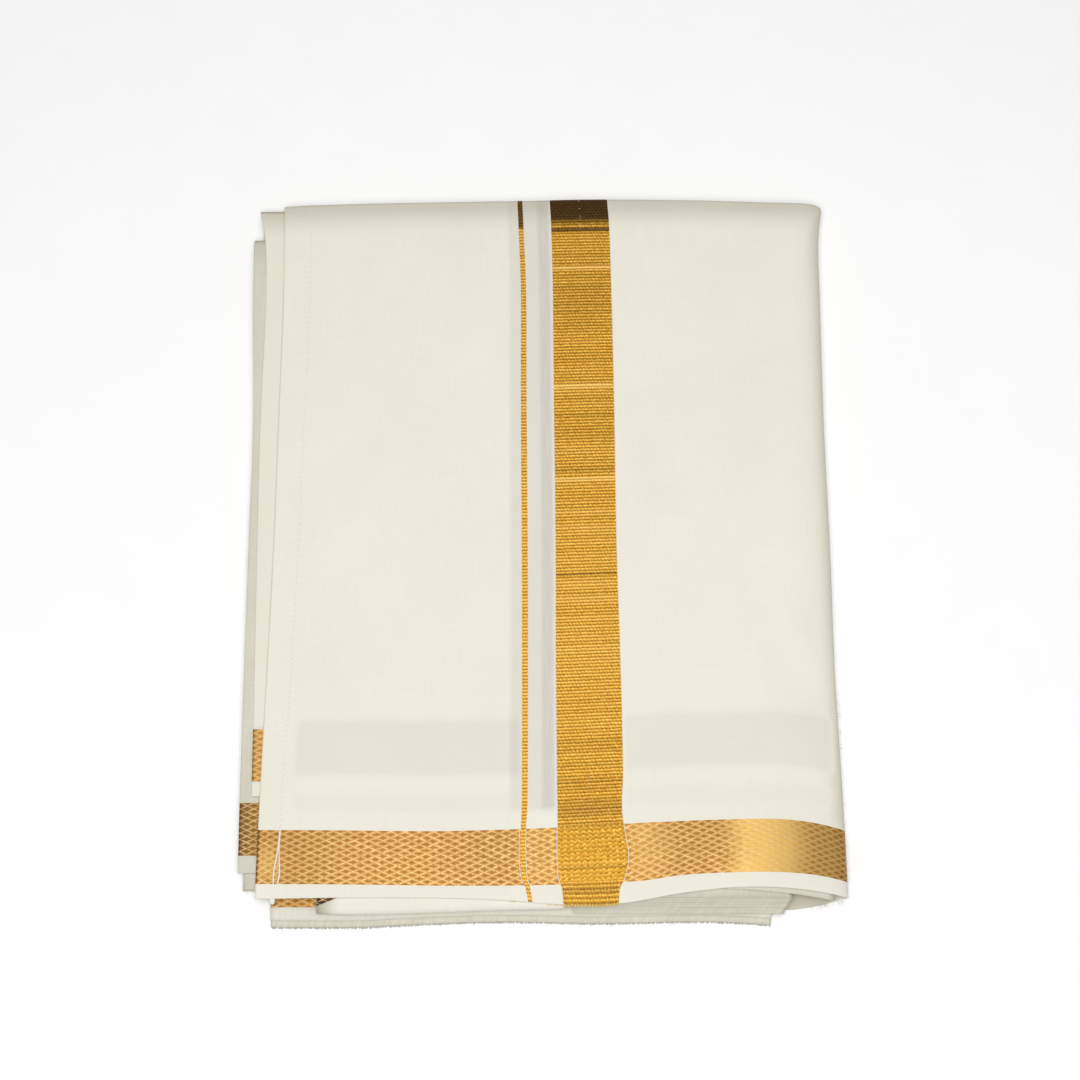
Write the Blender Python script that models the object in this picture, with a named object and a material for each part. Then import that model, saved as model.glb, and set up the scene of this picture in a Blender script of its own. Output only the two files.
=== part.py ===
"""Folded white cotton dhoti with woven gold borders, lying flat.

One woven length is folded in four across its width and in eight along its length. The first cut end
lies on top with its hem at the left, and the same layer turns over the right fold and comes back
underneath, where the cloth rests. Sizes are in millimetres and become metres when a mesh is made.
X runs from the hemmed ends on the left to the great fold on the right, Y from the selvedges in front
to the folds at the back, and Z is up. The origin is under the middle of the cloth.
"""

import math
from collections import namedtuple

import bmesh
import bpy

MM = 0.001
# The middle of the whole outline in the tables' own measure: it becomes the origin
MIDDLE_Y = -0.6

# Cloth walls: each layer is one wall, and the next one lies a little below it
WALL = 1.0
GAP = 0.4
STEP = WALL + GAP

# Rounded edges
CURL_STEPS = 6
BACK_ROUND = 1.9
TUCKED_UNDER = 6.0
TOP_CURL = 180.0
UNDERSIDE_CURL = 80.0
LIP = 0.3

# Second layer: its selvedge stops well behind the first one, and it rises from below the hem
SECOND_FRONT_SHARE = 0.140
BESIDE_HEM = 0.5
CLEAR_OF_HEM = 9.0

# Third layer: the width that is tucked in beside the strip that shows
THIRD_INNER = -98.0

# Front fold: the roll's reach along the front, and the lips that end its wall
ROLL_LEFT = -98.0
ROLL_RIGHT = 10.3
ROLL_STEPS = 8
ROLL_BACK = -158.1
ROLL_LIP = 0.9
ROLL_BESIDE_SECOND = 2.0

# Lower leaf
LEAF_LEFT = -118.8
LEAF_RIGHT = 101.0
LEAF_BACK = -158.3
LEAF_TOP = 4.75
LEAF_TOP_BACK = 5.0
LEAF_STEPS = 12

# Hidden folds: their left side, the rounding of the front left corner, and the shares of the whole
# width and length over which the outline of each fold takes over from the grid
CORE_LEFT = -130.6
CORE_CORNER = 2.9
CORNER_FROM, CORNER_TO = -124.0, -110.0
NEAR_EDGE = 0.08
NEAR_RIGHT = 0.72
UNDER_BACK_CURL = 0.94

# Left edges of the three layers, the right fold and its shape, from the front to the back
Section = namedtuple("Section", "y third second top hem right tip fold_width under_width filled")
SECTIONS = (
    Section(-160.0, -133.0, -128.0, -124.4, -115.8, 134.8, 6.4, 46.0, 26.0, 28.0),
    Section(-110.0, -133.2, -128.1, -123.4, -113.8, 133.6, 7.0, 40.0, 22.0, 25.0),
    Section(-60.0, -133.1, -128.5, -122.0, -111.6, 131.9, 8.0, 30.0, 17.0, 20.0),
    Section(0.0, -132.9, -129.1, -120.6, -109.8, 131.4, 8.4, 22.0, 14.0, 16.0),
    Section(60.0, -132.6, -129.4, -119.9, -108.6, 130.4, 8.4, 18.0, 12.0, 12.0),
    Section(120.0, -134.4, -128.6, -119.3, -107.6, 130.4, 8.4, 15.0, 11.0, 9.0),
    Section(150.0, -134.8, -129.8, -119.8, -107.8, 130.6, 8.2, 13.0, 10.5, 7.6),
    Section(169.0, -134.8, -133.5, -120.6, -108.2, 133.0, 8.0, 12.0, 10.0, 6.6),
)

# Selvedge of the top layer, and the fold at the back, from left to right
Edge = namedtuple("Edge", "x y")
FRONT = (
    Edge(-125.0, -159.2),
    Edge(-60.0, -158.9),
    Edge(-20.0, -159.8),
    Edge(10.0, -162.0),
    Edge(35.0, -161.5),
    Edge(60.0, -157.5),
    Edge(86.0, -154.9),
    Edge(108.0, -155.0),
    Edge(122.0, -156.3),
    Edge(135.0, -158.2),
)
FRONT_MIDDLE = -159.0
BACK = (
    Edge(-121.0, 165.9),
    Edge(-67.0, 167.2),
    Edge(-10.0, 168.4),
    Edge(28.0, 169.2),
    Edge(75.0, 168.7),
    Edge(104.0, 167.6),
    Edge(130.0, 166.9),
)
UNDER_FRONT = (
    Edge(-126.0, -159.5),
    Edge(60.0, -161.2),
    Edge(98.0, -161.4),
    Edge(109.0, -162.6),
    Edge(122.0, -160.8),
    Edge(134.0, -158.4),
)
UNDER_LEFT = -126.0

# Height of the top layer: a level with soft hills and hollows on it
LEVEL = 16.4
Hill = namedtuple("Hill", "name x y spread_x spread_y rise")
HILLS = (
    Hill("thin left edge", -130.0, 0.0, 26.0, 600.0, -2.9),
    Hill("front slope", -60.0, -180.0, 90.0, 34.0, -1.6),
    Hill("bulge over the open fold", 82.0, -152.0, 33.0, 56.0, 4.6),
    Hill("back slope", 0.0, 190.0, 400.0, 30.0, -1.6),
)

# Soft troughs in the top layer, each along a short route
Trough = namedtuple("Trough", "route width depth")
TROUGHS = (
    Trough(((44.0, 76.0), (53.0, 46.0), (71.0, 13.0), (62.0, -15.0)), 11.0, 0.9),
    Trough(((95.0, -15.0), (104.0, -43.0), (115.0, -66.0), (127.0, -74.0)), 10.0, 1.1),
)

# Front fold: where its front lies and how far it hangs, from left to right
Roll = namedtuple("Roll", "x y drop")
ROLLS = (
    Roll(-98.0, -165.4, 5.6),
    Roll(-84.0, -165.8, 6.2),
    Roll(-60.0, -165.4, 6.2),
    Roll(-20.0, -164.0, 5.8),
    Roll(11.0, -163.4, 5.2),
)

# Inner fold: how far it stands out in front of the top layer's selvedge
INNER_OUT = (
    Edge(14.0, -2.0),
    Edge(62.0, -2.0),
    Edge(80.0, 0.2),
    Edge(100.0, 1.8),
    Edge(131.0, 2.6),
)

# Lower leaf: its front edge, from left to right
LEAF_FRONT = (
    Edge(-118.8, -170.3),
    Edge(-79.0, -170.3),
    Edge(-62.0, -169.4),
    Edge(-18.0, -167.9),
    Edge(26.0, -168.6),
    Edge(70.0, -167.8),
    Edge(92.0, -168.6),
    Edge(101.0, -169.4),
)
# Its section, with the way back from the front edge
Corner = namedtuple("Corner", "back height")
LEAF_SECTION = (
    Corner(5.6, 1.35),
    Corner(4.4, 0.0),
    Corner(0.8, 0.0),
    Corner(0.0, 0.9),
    Corner(0.5, 1.9),
    Corner(3.2, 2.3),
    Corner(2.6, 3.1),
    Corner(3.4, 4.0),
)

# Hidden folds: a row for each fold, from the bottom up, with how far it stands out on each side
Fold = namedtuple("Fold", "left back right front_left front_right")
FOLDS = (
    Fold(-2.6, -3.4, -2.0, -157.5, -157.5),
    Fold(0.2, -0.6, -0.5, -157.4, -157.4),
    Fold(0.8, -1.0, 0.0, -157.8, -165.2),
    Fold(-1.4, 0.2, 0.0, -157.2, -162.8),
    Fold(0.4, -0.8, -0.5, -157.6, -160.8),
    Fold(-0.6, -0.4, -2.6, -157.3, -158.8),
)
# The folds on the front step out where the roll ends
STEP_OUT_FROM, STEP_OUT_TO = 11.2, 14.4
# One rounded fold from its top down: how far the outline moves in, and the share of its height
Bend = namedtuple("Bend", "inset up")
BENDS = (Bend(0.3, 0.80), Bend(0.0, 0.50), Bend(0.3, 0.20), Bend(1.3, 0.0))
BACK_INSET = 0.4

# Columns of the shared grid: steps across the flat top, then angles round the right fold
TOP_COLUMNS = (-98.0, -80.0, -62.0, -44.0, -26.0, -8.0, 11.0, 14.5, 30.0, 46.0, 62.0, 76.0)
FOLD_ANGLES = (0, 15, 30, 45, 56, 65, 73, 81, 90)
RETURN_ANGLES = (78, 62, 42, 20, 0)
UNDER_COLUMNS = (60.0, 0.0, -60.0, UNDER_LEFT)
# Rows of the shared grid, as shares of the way from the front to the back
FIRST_ROWS = (0.0, 0.010, 0.036, 0.085, SECOND_FRONT_SHARE)
ROW_STEP = 0.05
LAST_ROWS = (0.955, 1.0)

Colour = namedtuple("Colour", "red green blue")
WHITE = Colour(0.81, 0.78, 0.70)
SHADED_WHITE = Colour(0.66, 0.64, 0.55)


def read(table, column, at):
    """The value of a table's column at a place between its rows, on a smooth curve."""
    places = [row[0] for row in table]
    values = [getattr(row, column) for row in table]
    if at <= places[0]:
        return values[0]
    if at >= places[-1]:
        return values[-1]
    after = next(i for i, place in enumerate(places) if place > at)
    before = after - 1
    share = (at - places[before]) / (places[after] - places[before])
    rise = values[after] - values[before]
    slopes = []
    for i in (before, after):
        left, right = max(i - 1, 0), min(i + 1, len(places) - 1)
        slope = (values[right] - values[left]) / (places[right] - places[left])
        slopes.append(slope * (places[after] - places[before]))
    start, end = slopes
    return (
        values[before]
        + start * share
        + (3 * rise - 2 * start - end) * share**2
        + (start + end - 2 * rise) * share**3
    )


def eased(value, low, high):
    """0 below low, 1 above high, and a smooth rise between them."""
    share = min(max((value - low) / (high - low), 0.0), 1.0)
    return share * share * (3 - 2 * share)


def distance_to_route(x, y, route):
    """The distance from a place to the nearest stretch of a route."""
    nearest = math.inf
    for (x0, y0), (x1, y1) in zip(route, route[1:]):
        length = math.hypot(x1 - x0, y1 - y0)
        along = ((x - x0) * (x1 - x0) + (y - y0) * (y1 - y0)) / length**2
        along = min(max(along, 0.0), 1.0)
        nearest = min(nearest, math.hypot(x - x0 - along * (x1 - x0), y - y0 - along * (y1 - y0)))
    return nearest


def relief(x, y):
    """The height of the top layer before the right fold turns it down."""
    height = LEVEL
    for hill in HILLS:
        across = (x - hill.x) / hill.spread_x
        along = (y - hill.y) / hill.spread_y
        height += hill.rise * math.exp(-across * across - along * along)
    for trough in TROUGHS:
        away = distance_to_route(x, y, trough.route) / trough.width
        height -= trough.depth * math.exp(-away * away)
    return height


def surface(x, y):
    """The height of the top layer anywhere on it, the right fold included."""
    fold_width = read(SECTIONS, "fold_width", y)
    tip = read(SECTIONS, "tip", y)
    into_fold = (x - read(SECTIONS, "right", y) + fold_width) / fold_width
    into_fold = min(max(into_fold, 0.0), 1.0)
    return tip + (relief(x, y) - tip) * math.sqrt(1 - into_fold * into_fold)


def second_depth(x, y):
    """How deep the second layer lies: below the hem at the left, and just below the top elsewhere."""
    hem = read(SECTIONS, "hem", y)
    return STEP + STEP * (1 - eased(x, hem + BESIDE_HEM, hem + CLEAR_OF_HEM))


def column_x(y):
    """Where the columns of the shared grid cross the top at one place along the cloth."""
    third, second, top, hem = (read(SECTIONS, name, y) for name in ("third", "second", "top", "hem"))
    right, width = read(SECTIONS, "right", y), read(SECTIONS, "fold_width", y)
    start = right - width
    last = TOP_COLUMNS[-1]
    columns = [third, second, top, hem, *TOP_COLUMNS, (last + start) / 2]
    return columns + [start + width * math.sin(math.radians(angle)) for angle in FOLD_ANGLES]


def row_shares():
    """The shared grid's rows, from the front to where the back fold begins."""
    shares = list(FIRST_ROWS)
    while shares[-1] + ROW_STEP < LAST_ROWS[0] - 0.01:
        shares.append(round(shares[-1] + ROW_STEP, 3))
    return shares + list(LAST_ROWS)


ROWS = row_shares()
THIRD, SECOND, TOP, HEM, INNER = range(5)
FOLD_START = 4 + len(TOP_COLUMNS) + 1
TIP = FOLD_START + len(FOLD_ANGLES) - 1
LAST_COLUMN = TIP + len(RETURN_ANGLES) + len(UNDER_COLUMNS)


def row_y(x, share):
    """Where a row of the shared grid lies at one place across the cloth."""
    straight = FRONT_MIDDLE + share * (read(BACK, "y", x) - BACK_ROUND - FRONT_MIDDLE)
    return straight + (read(FRONT, "y", x) - FRONT_MIDDLE) * (1 - share) ** 3


def under_y(x, share):
    """The same on the underside, whose selvedge has its own line."""
    front = read(UNDER_FRONT, "y", x)
    return front + share * (read(BACK, "y", x) - BACK_ROUND - front)


def section_point(column, share):
    """A point of the shared grid: across the top, round the right fold and back underneath."""
    nominal = column_x(0.0)[min(column, TIP)]
    y = row_y(nominal, share)
    if column <= TIP:
        x = column_x(y)[column]
        y = row_y(x, share)
        return x, y, surface(x, y)
    right, tip, width = (read(SECTIONS, name, y) for name in ("right", "tip", "under_width"))
    below = column - TIP - 1
    if below < len(RETURN_ANGLES):
        angle = math.radians(RETURN_ANGLES[below])
        x = right - width + width * math.sin(angle)
        return x, under_y(x, share), tip * (1 - math.cos(angle))
    x = UNDER_COLUMNS[below - len(RETURN_ANGLES)]
    return x, under_y(x, share), 0.0


def outward(column, share):
    """Which way the cloth faces there, across the section."""
    if column > TIP + len(RETURN_ANGLES):
        return 0.0, -1.0
    before = section_point(max(column - 1, 0), share)
    after = section_point(column + 1, share)
    run, rise = after[0] - before[0], after[2] - before[2]
    length = math.hypot(run, rise)
    return -rise / length, run / length


def layer_point(column, share, depth, forward=0.0):
    """A point of a layer that lies some depth inside the top one."""
    x, y, z = section_point(column, share)
    out_x, out_z = outward(column, share)
    return x - out_x * depth, y - forward, z - out_z * depth


def material(name, colour):
    """A plain woven finish in one colour."""
    made = bpy.data.materials.new(name)
    made.use_nodes = True
    shader = made.node_tree.nodes["Principled BSDF"]
    shader.inputs["Base Color"].default_value = (*colour, 1.0)
    shader.inputs["Roughness"].default_value = 0.85
    shader.inputs["Metallic"].default_value = 0.0
    return made


def add_object(name, points, faces, colour):
    """A named object from points in millimetres."""
    mesh = bpy.data.meshes.new(name)
    mesh.from_pydata([(x * MM, (y - MIDDLE_Y) * MM, z * MM) for x, y, z in points], [], faces)
    mesh.materials.append(material(name, colour))
    made = bpy.data.objects.new(name, mesh)
    bpy.context.scene.collection.objects.link(made)
    return made


def strips(across, along):
    """The faces between rows of points, each row as long as across."""
    return [
        (
            row * across + column,
            row * across + column + 1,
            (row + 1) * across + column + 1,
            (row + 1) * across + column,
        )
        for row in range(along - 1)
        for column in range(across - 1)
    ]


def cloth_wall(name, rows, colour):
    """A wall of cloth through rows of points on its outer side."""
    points = [point for row in rows for point in row]
    made = add_object(name, points, strips(len(rows[0]), len(rows)), colour)
    wall = made.modifiers.new("wall", "SOLIDIFY")
    wall.thickness = WALL * MM
    wall.offset = -1.0
    wall.use_even_offset = True
    made.data.shade_smooth()


def back_curl(column, step):
    """How far the top layer's back edge has turned inwards, and along, after some steps.

    On top it turns right under and lies flat for a way, and underneath it only turns up.
    """
    returning = min(max(column - TIP, 0) / (len(RETURN_ANGLES) + 1), 1.0)
    x, y, _ = section_point(column, ROWS[-1])
    inside = second_depth(x, y) if column <= TIP else STEP
    radius = (inside + STEP + WALL) / 2
    full_turn = TOP_CURL + (UNDERSIDE_CURL - TOP_CURL) * returning
    angle = math.radians(full_turn) * min(step, CURL_STEPS) / CURL_STEPS
    along = radius * math.sin(angle)
    if step > CURL_STEPS:
        along += LIP * returning - TUCKED_UNDER * (1 - returning)
    return radius * (1 - math.cos(angle)), along


def top_layer():
    """The hemmed end on top, its back fold, the right fold and the layer that the cloth rests on."""
    columns = range(TOP, LAST_COLUMN + 1)
    rows = [[layer_point(column, share, 0.0) for column in columns] for share in ROWS]
    for step in range(1, CURL_STEPS + 2):
        row = []
        for column in columns:
            inwards, along = back_curl(column, step)
            row.append(layer_point(column, ROWS[-1], inwards, -along))
        rows.append(row)
    cloth_wall("top_layer", rows, WHITE)


def end_hem():
    """The cut end turned under and stitched, below the top layer's left edge."""
    rows = [[layer_point(column, share, STEP) for column in (TOP, HEM)] for share in ROWS]
    cloth_wall("end_hem", rows, WHITE)


def second_layer():
    """The layer with the other selvedge, which shows beside the hem and stops short of the front."""
    first = FIRST_ROWS.index(SECOND_FRONT_SHARE)
    last = FOLD_START + FOLD_ANGLES.index(45)
    rows = []
    for share in ROWS[first:]:
        row = []
        for column in range(SECOND, last + 1):
            x, y, _ = section_point(column, share)
            row.append(layer_point(column, share, second_depth(x, y)))
        rows.append(row)
    cloth_wall("second_layer", rows, WHITE)


def third_layer():
    """The other hemmed end of the cloth, which shows along the left edge."""
    rows = []
    for share in ROWS[2:-1]:
        row = []
        for column in range(THIRD, INNER + 1):
            x, y, _ = section_point(column, share)
            row.append(layer_point(column, share, second_depth(x, y) + STEP))
        rows.append(row)
    cloth_wall("third_layer", rows, SHADED_WHITE)


def front_fold():
    """The rounded centre fold that stands out below the front selvedge, open at its left end."""
    columns = [x for x in TOP_COLUMNS if ROLL_LEFT <= x < ROLL_RIGHT] + [ROLL_RIGHT]
    sides = []
    for x in columns:
        top = surface(x, row_y(x, 0.0)) - STEP
        radius = read(ROLLS, "drop", x) / 2
        front = read(ROLLS, "y", x)
        side = [(x, ROLL_BACK, top - 2 * radius + ROLL_LIP)]
        for step in range(ROLL_STEPS + 1):
            angle = math.pi * step / ROLL_STEPS
            y = front + radius - radius * math.sin(angle)
            side.append((x, y, top - radius - radius * math.cos(angle)))
        for share in FIRST_ROWS[2:]:
            y = row_y(x, share) - (ROLL_BESIDE_SECOND if share == SECOND_FRONT_SHARE else 0.0)
            side.append((x, y, surface(x, y) - STEP))
        sides.append(side)
    cloth_wall("front_fold", [list(row) for row in zip(*sides)], WHITE)


def inner_fold():
    """The same fold further right, where it shows inside the open right fold."""
    first = 4 + TOP_COLUMNS.index(14.5)
    last = FOLD_START + FOLD_ANGLES.index(65)
    shares = [share for share in ROWS if share < SECOND_FRONT_SHARE]
    rows = []
    for share in shares:
        row = []
        for column in range(first, last + 1):
            x = section_point(column, share)[0]
            forward = read(INNER_OUT, "y", x) if share == 0.0 else 0.0
            row.append(layer_point(column, share, STEP, forward))
        rows.append(row)
    cloth_wall("inner_fold", rows, SHADED_WHITE)


def face_outwards(made):
    """Turns the faces of a closed solid so that they all point out."""
    shape = bmesh.new()
    shape.from_mesh(made.data)
    bmesh.ops.recalc_face_normals(shape, faces=shape.faces)
    shape.to_mesh(made.data)
    shape.free()
    made.data.shade_smooth()


def closed_loft(name, rings, colour):
    """A solid through closed rings of points, with a flat face over each end."""
    around = len(rings[0])
    points = [point for ring in rings for point in ring]
    faces = [
        (
            row * around + i,
            row * around + (i + 1) % around,
            (row + 1) * around + (i + 1) % around,
            (row + 1) * around + i,
        )
        for row in range(len(rings) - 1)
        for i in range(around)
    ]
    faces.append(tuple(reversed(range(around))))
    faces.append(tuple(range((len(rings) - 1) * around, len(rings) * around)))
    return add_object(name, points, faces, colour)


def lower_leaf():
    """The leaf that stands out furthest in front: two layers, the lower one on the ground."""
    rings = []
    for i in range(LEAF_STEPS + 1):
        x = LEAF_LEFT + (LEAF_RIGHT - LEAF_LEFT) * i / LEAF_STEPS
        front = read(LEAF_FRONT, "y", x)
        ring = [(x, LEAF_BACK, STEP)]
        ring += [(x, front + corner.back, corner.height) for corner in LEAF_SECTION]
        ring.append((x, front + LEAF_TOP_BACK, LEAF_TOP))
        ring.append((x, LEAF_BACK, LEAF_TOP))
        rings.append(ring)
    face_outwards(closed_loft("lower_leaf", rings, WHITE))


def core_outline(fold, place, share_x, share_y, inset):
    """A point on the outline of one hidden fold, from its place on the rim, moved in by inset."""
    x, y = place
    at_left = 1 - eased(share_x, 0.0, NEAR_EDGE)
    at_right = eased(share_x, NEAR_RIGHT, 1.0)
    at_front = 1 - eased(share_y, 0.0, NEAR_EDGE)
    at_back = eased(share_y, 1 - NEAR_EDGE, 1.0)
    left = CORE_LEFT - fold.left + inset
    right = read(SECTIONS, "right", y) - read(SECTIONS, "filled", y) + fold.right - inset
    x += (left - x) * at_left + (right - x) * at_right
    out = eased(x, STEP_OUT_FROM, STEP_OUT_TO)
    front = fold.front_left + out * (fold.front_right - fold.front_left) + inset
    front += CORE_CORNER * (1 - eased(x, CORNER_FROM, CORNER_TO))
    back = read(BACK, "y", x) - BACK_INSET + fold.back - inset
    return x, y + (front - y) * at_front + (back - y) * at_back


def core_top(x, y, share_y):
    """The height of the hidden folds below the layers that lie on them."""
    layers = 2 if x <= THIRD_INNER or share_y > UNDER_BACK_CURL else 1
    return surface(x, y) - second_depth(x, y) - STEP * layers


def rim_of(across, along):
    """The outer points of a grid, in order round it."""
    rim = list(range(across))
    rim += [row * across + across - 1 for row in range(1, along)]
    rim += [(along - 1) * across + column for column in range(across - 2, -1, -1)]
    rim += [row * across for row in range(along - 2, 0, -1)]
    return rim


def shares_of(index, grid):
    """A grid point's place, and its shares of the way across and along."""
    row, column = divmod(index, len(grid[0]))
    x, y, _ = grid[row][column]
    left, right = grid[row][0][0], grid[row][-1][0]
    front, back = grid[0][column][1], grid[-1][column][1]
    return (x, y), (x - left) / (right - left), (y - front) / (back - front)


def hidden_folds():
    """All hidden layers as one rounded solid with its folds stacked at the edges."""
    columns = range(SECOND, FOLD_START + 1)
    grid = [[section_point(column, share) for column in columns] for share in ROWS[1:]]
    across, along = len(grid[0]), len(grid)
    points = []
    for share, row in zip(ROWS[1:], grid):
        points += [(x, y, core_top(x, y, share)) for x, y, _ in row]
    faces = strips(across, along)
    rim = rim_of(across, along)
    shares = [shares_of(index, grid) for index in rim]
    previous = rim
    for number, fold in reversed(list(enumerate(FOLDS))):
        for bend in BENDS:
            ring = []
            for place, share_x, share_y in shares:
                x, y = core_outline(fold, place, share_x, share_y, bend.inset)
                top = core_top(x, y, share_y)
                z = STEP + (top - STEP) * (number + bend.up) / len(FOLDS)
                ring.append(len(points))
                points.append((x, y, z))
            for i in range(len(ring)):
                after = (i + 1) % len(ring)
                faces.append((previous[i], ring[i], ring[after], previous[after]))
            previous = ring
    faces.append(tuple(reversed(previous)))
    face_outwards(add_object("hidden_folds", points, faces, SHADED_WHITE))


def main():
    for old in list(bpy.data.objects):
        bpy.data.objects.remove(old)
    top_layer()
    end_hem()
    second_layer()
    third_layer()
    front_fold()
    inner_fold()
    lower_leaf()
    hidden_folds()


main()
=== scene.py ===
"""Folded white cotton dhoti with woven gold borders: its cloth, gold thread, sewing, floor and light.

Each layer that shows is a thin sheet on the form of its solid, made through rows and columns that
follow the threads of the cloth. Tables are in millimetres, measured as the solids are: X from the
hemmed ends on the left to the great fold on the right, Y from the selvedges in front to the folds
at the back, Z up. Places on the cloth itself are U, the distance from its hemmed end, and V, the
distance from its selvedge, both in millimetres.
"""

import math
import random
from collections import namedtuple

import bmesh
import bpy
import numpy as np
from bpy.props import FloatProperty, FloatVectorProperty, PointerProperty
from mathutils import Matrix, Vector


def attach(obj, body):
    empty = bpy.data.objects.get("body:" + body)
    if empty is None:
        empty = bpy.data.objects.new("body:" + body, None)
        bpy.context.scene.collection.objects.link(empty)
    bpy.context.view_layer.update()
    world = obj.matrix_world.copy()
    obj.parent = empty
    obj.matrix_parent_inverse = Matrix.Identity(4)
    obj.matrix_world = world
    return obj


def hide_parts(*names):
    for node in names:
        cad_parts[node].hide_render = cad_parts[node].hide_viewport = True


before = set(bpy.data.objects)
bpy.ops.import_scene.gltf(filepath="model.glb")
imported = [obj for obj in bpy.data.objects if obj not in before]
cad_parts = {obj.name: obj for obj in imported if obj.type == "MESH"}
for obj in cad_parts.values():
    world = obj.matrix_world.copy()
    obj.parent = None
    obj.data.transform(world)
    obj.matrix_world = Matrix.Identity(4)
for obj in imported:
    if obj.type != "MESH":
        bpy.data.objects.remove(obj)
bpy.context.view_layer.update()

bl_info = {
    "name": "Folded dhoti",
    "version": (1, 0, 0),
    "blender": (4, 5, 0),
    "location": "View3D > Sidebar > Dhoti",
    "description": "Dresses the folded dhoti's solids in cotton, gold thread and stitches",
    "category": "Mesh",
}

MM = 0.001
# The middle of the cloth's outline in the tables' own measure
MIDDLE_Y = -0.6

# Depth of one solid layer, and of its wall, as in the solids
WALL = 1.0
STEP = 1.4

# Rounded edges
BACK_ROUND = 1.9
TUCKED_UNDER = 6.0
TOP_CURL = 180.0
UNDERSIDE_CURL = 80.0
LIP = 0.3
HEM_ROUND = 0.62

# Distances from the selvedge to the border, and to where the back fold begins
MARGIN = 6.6
BORDER_END = 30.1
V_BACK = 325.0
CURL_LENGTH = 6.0

# Left edges of the three layers, the right fold and its shape, from the front to the back
Section = namedtuple("Section", "y third second top stitch right tip fold_width under_width filled")
SECTIONS = (
    Section(-160.0, -133.0, -128.0, -125.0, -115.8, 134.8, 6.4, 46.0, 26.0, 28.0),
    Section(-110.0, -133.2, -128.1, -124.0, -113.8, 133.6, 7.0, 40.0, 22.0, 25.0),
    Section(-60.0, -133.1, -128.5, -122.7, -111.6, 131.9, 8.0, 30.0, 17.0, 20.0),
    Section(0.0, -132.9, -129.1, -121.3, -109.8, 131.4, 8.4, 22.0, 14.0, 16.0),
    Section(60.0, -132.6, -129.4, -120.7, -108.6, 130.4, 8.4, 18.0, 12.0, 12.0),
    Section(120.0, -134.4, -128.6, -120.1, -107.6, 130.4, 8.4, 15.0, 11.0, 9.0),
    Section(150.0, -134.8, -129.8, -120.6, -107.8, 130.6, 8.2, 13.0, 10.5, 7.6),
    Section(169.0, -134.8, -133.5, -121.2, -108.2, 133.0, 8.0, 12.0, 10.0, 6.6),
)

# The gold line and the gold band on the top layer, from the front to the back
Woven = namedtuple("Woven", "y line_left line_right band_left band_right")
WOVEN = (
    Woven(-162.0, -5.4, -3.6, 9.7, 33.6),
    Woven(-155.0, -6.7, -4.8, 9.1, 34.3),
    Woven(-150.5, -8.3, -6.0, 7.8, 36.4),
    Woven(-141.0, -9.2, -6.7, 7.3, 38.0),
    Woven(-128.0, -8.9, -6.6, 7.3, 36.2),
    Woven(-120.0, -8.5, -6.1, 7.2, 35.4),
    Woven(-103.0, -8.4, -5.9, 7.0, 36.0),
    Woven(-50.0, -8.5, -5.9, 6.6, 35.2),
    Woven(0.0, -8.7, -6.1, 6.6, 34.0),
    Woven(70.0, -9.3, -6.7, 5.9, 33.4),
    Woven(122.0, -9.4, -7.0, 5.5, 32.6),
    Woven(155.0, -10.6, -8.3, 4.7, 31.8),
    Woven(169.0, -11.2, -8.9, 4.0, 31.0),
)
# Where those edges, the fold of the hem and its stitches lie on the cloth
HEM_EDGE_U, STITCH_U = 0.0, 10.5
LINE_U = (111.0, 113.8)
BAND_U = (127.0, 155.0)

# The two edges of the diamond border on the top layer, from left to right
Border = namedtuple("Border", "x near far")
BORDER = (
    Border(-125.0, -152.8, -129.2),
    Border(-62.0, -153.5, -130.0),
    Border(-40.0, -153.8, -130.0),
    Border(2.0, -153.5, -128.7),
    Border(43.0, -151.9, -126.6),
    Border(61.0, -149.6, -126.0),
    Border(87.0, -148.5, -125.3),
    Border(105.0, -148.2, -125.0),
    Border(120.0, -149.0, -126.2),
    Border(134.0, -151.2, -128.8),
)

# Selvedge of the top layer, the fold at the back, and the selvedge underneath
Edge = namedtuple("Edge", "x y")
FRONT = (
    Edge(-125.0, -159.2),
    Edge(-60.0, -158.9),
    Edge(-20.0, -159.8),
    Edge(10.0, -162.0),
    Edge(35.0, -161.5),
    Edge(60.0, -157.5),
    Edge(86.0, -154.9),
    Edge(108.0, -155.0),
    Edge(122.0, -156.3),
    Edge(135.0, -158.2),
)
FRONT_MIDDLE = -159.0
BACK = (
    Edge(-121.0, 165.9),
    Edge(-67.0, 167.2),
    Edge(-10.0, 168.4),
    Edge(28.0, 169.2),
    Edge(75.0, 168.7),
    Edge(104.0, 167.6),
    Edge(130.0, 166.9),
)
UNDER_FRONT = (
    Edge(-126.0, -156.6),
    Edge(-110.0, -158.4),
    Edge(60.0, -161.2),
    Edge(98.0, -161.4),
    Edge(109.0, -162.6),
    Edge(122.0, -160.8),
    Edge(134.0, -158.4),
)
UNDER_LEFT = -126.0

# Height of the top layer: a level with soft hills and hollows on it
LEVEL = 16.4
Hill = namedtuple("Hill", "name x y spread_x spread_y rise")
HILLS = (
    Hill("thin left edge", -130.0, 0.0, 26.0, 600.0, -2.9),
    Hill("front slope", -60.0, -180.0, 90.0, 34.0, -1.6),
    Hill("bulge over the open fold", 82.0, -152.0, 33.0, 56.0, 4.6),
    Hill("back slope", 0.0, 190.0, 400.0, 30.0, -1.6),
    Hill("round back edge", 0.0, 173.0, 9000.0, 9.0, -2.6),
)

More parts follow.
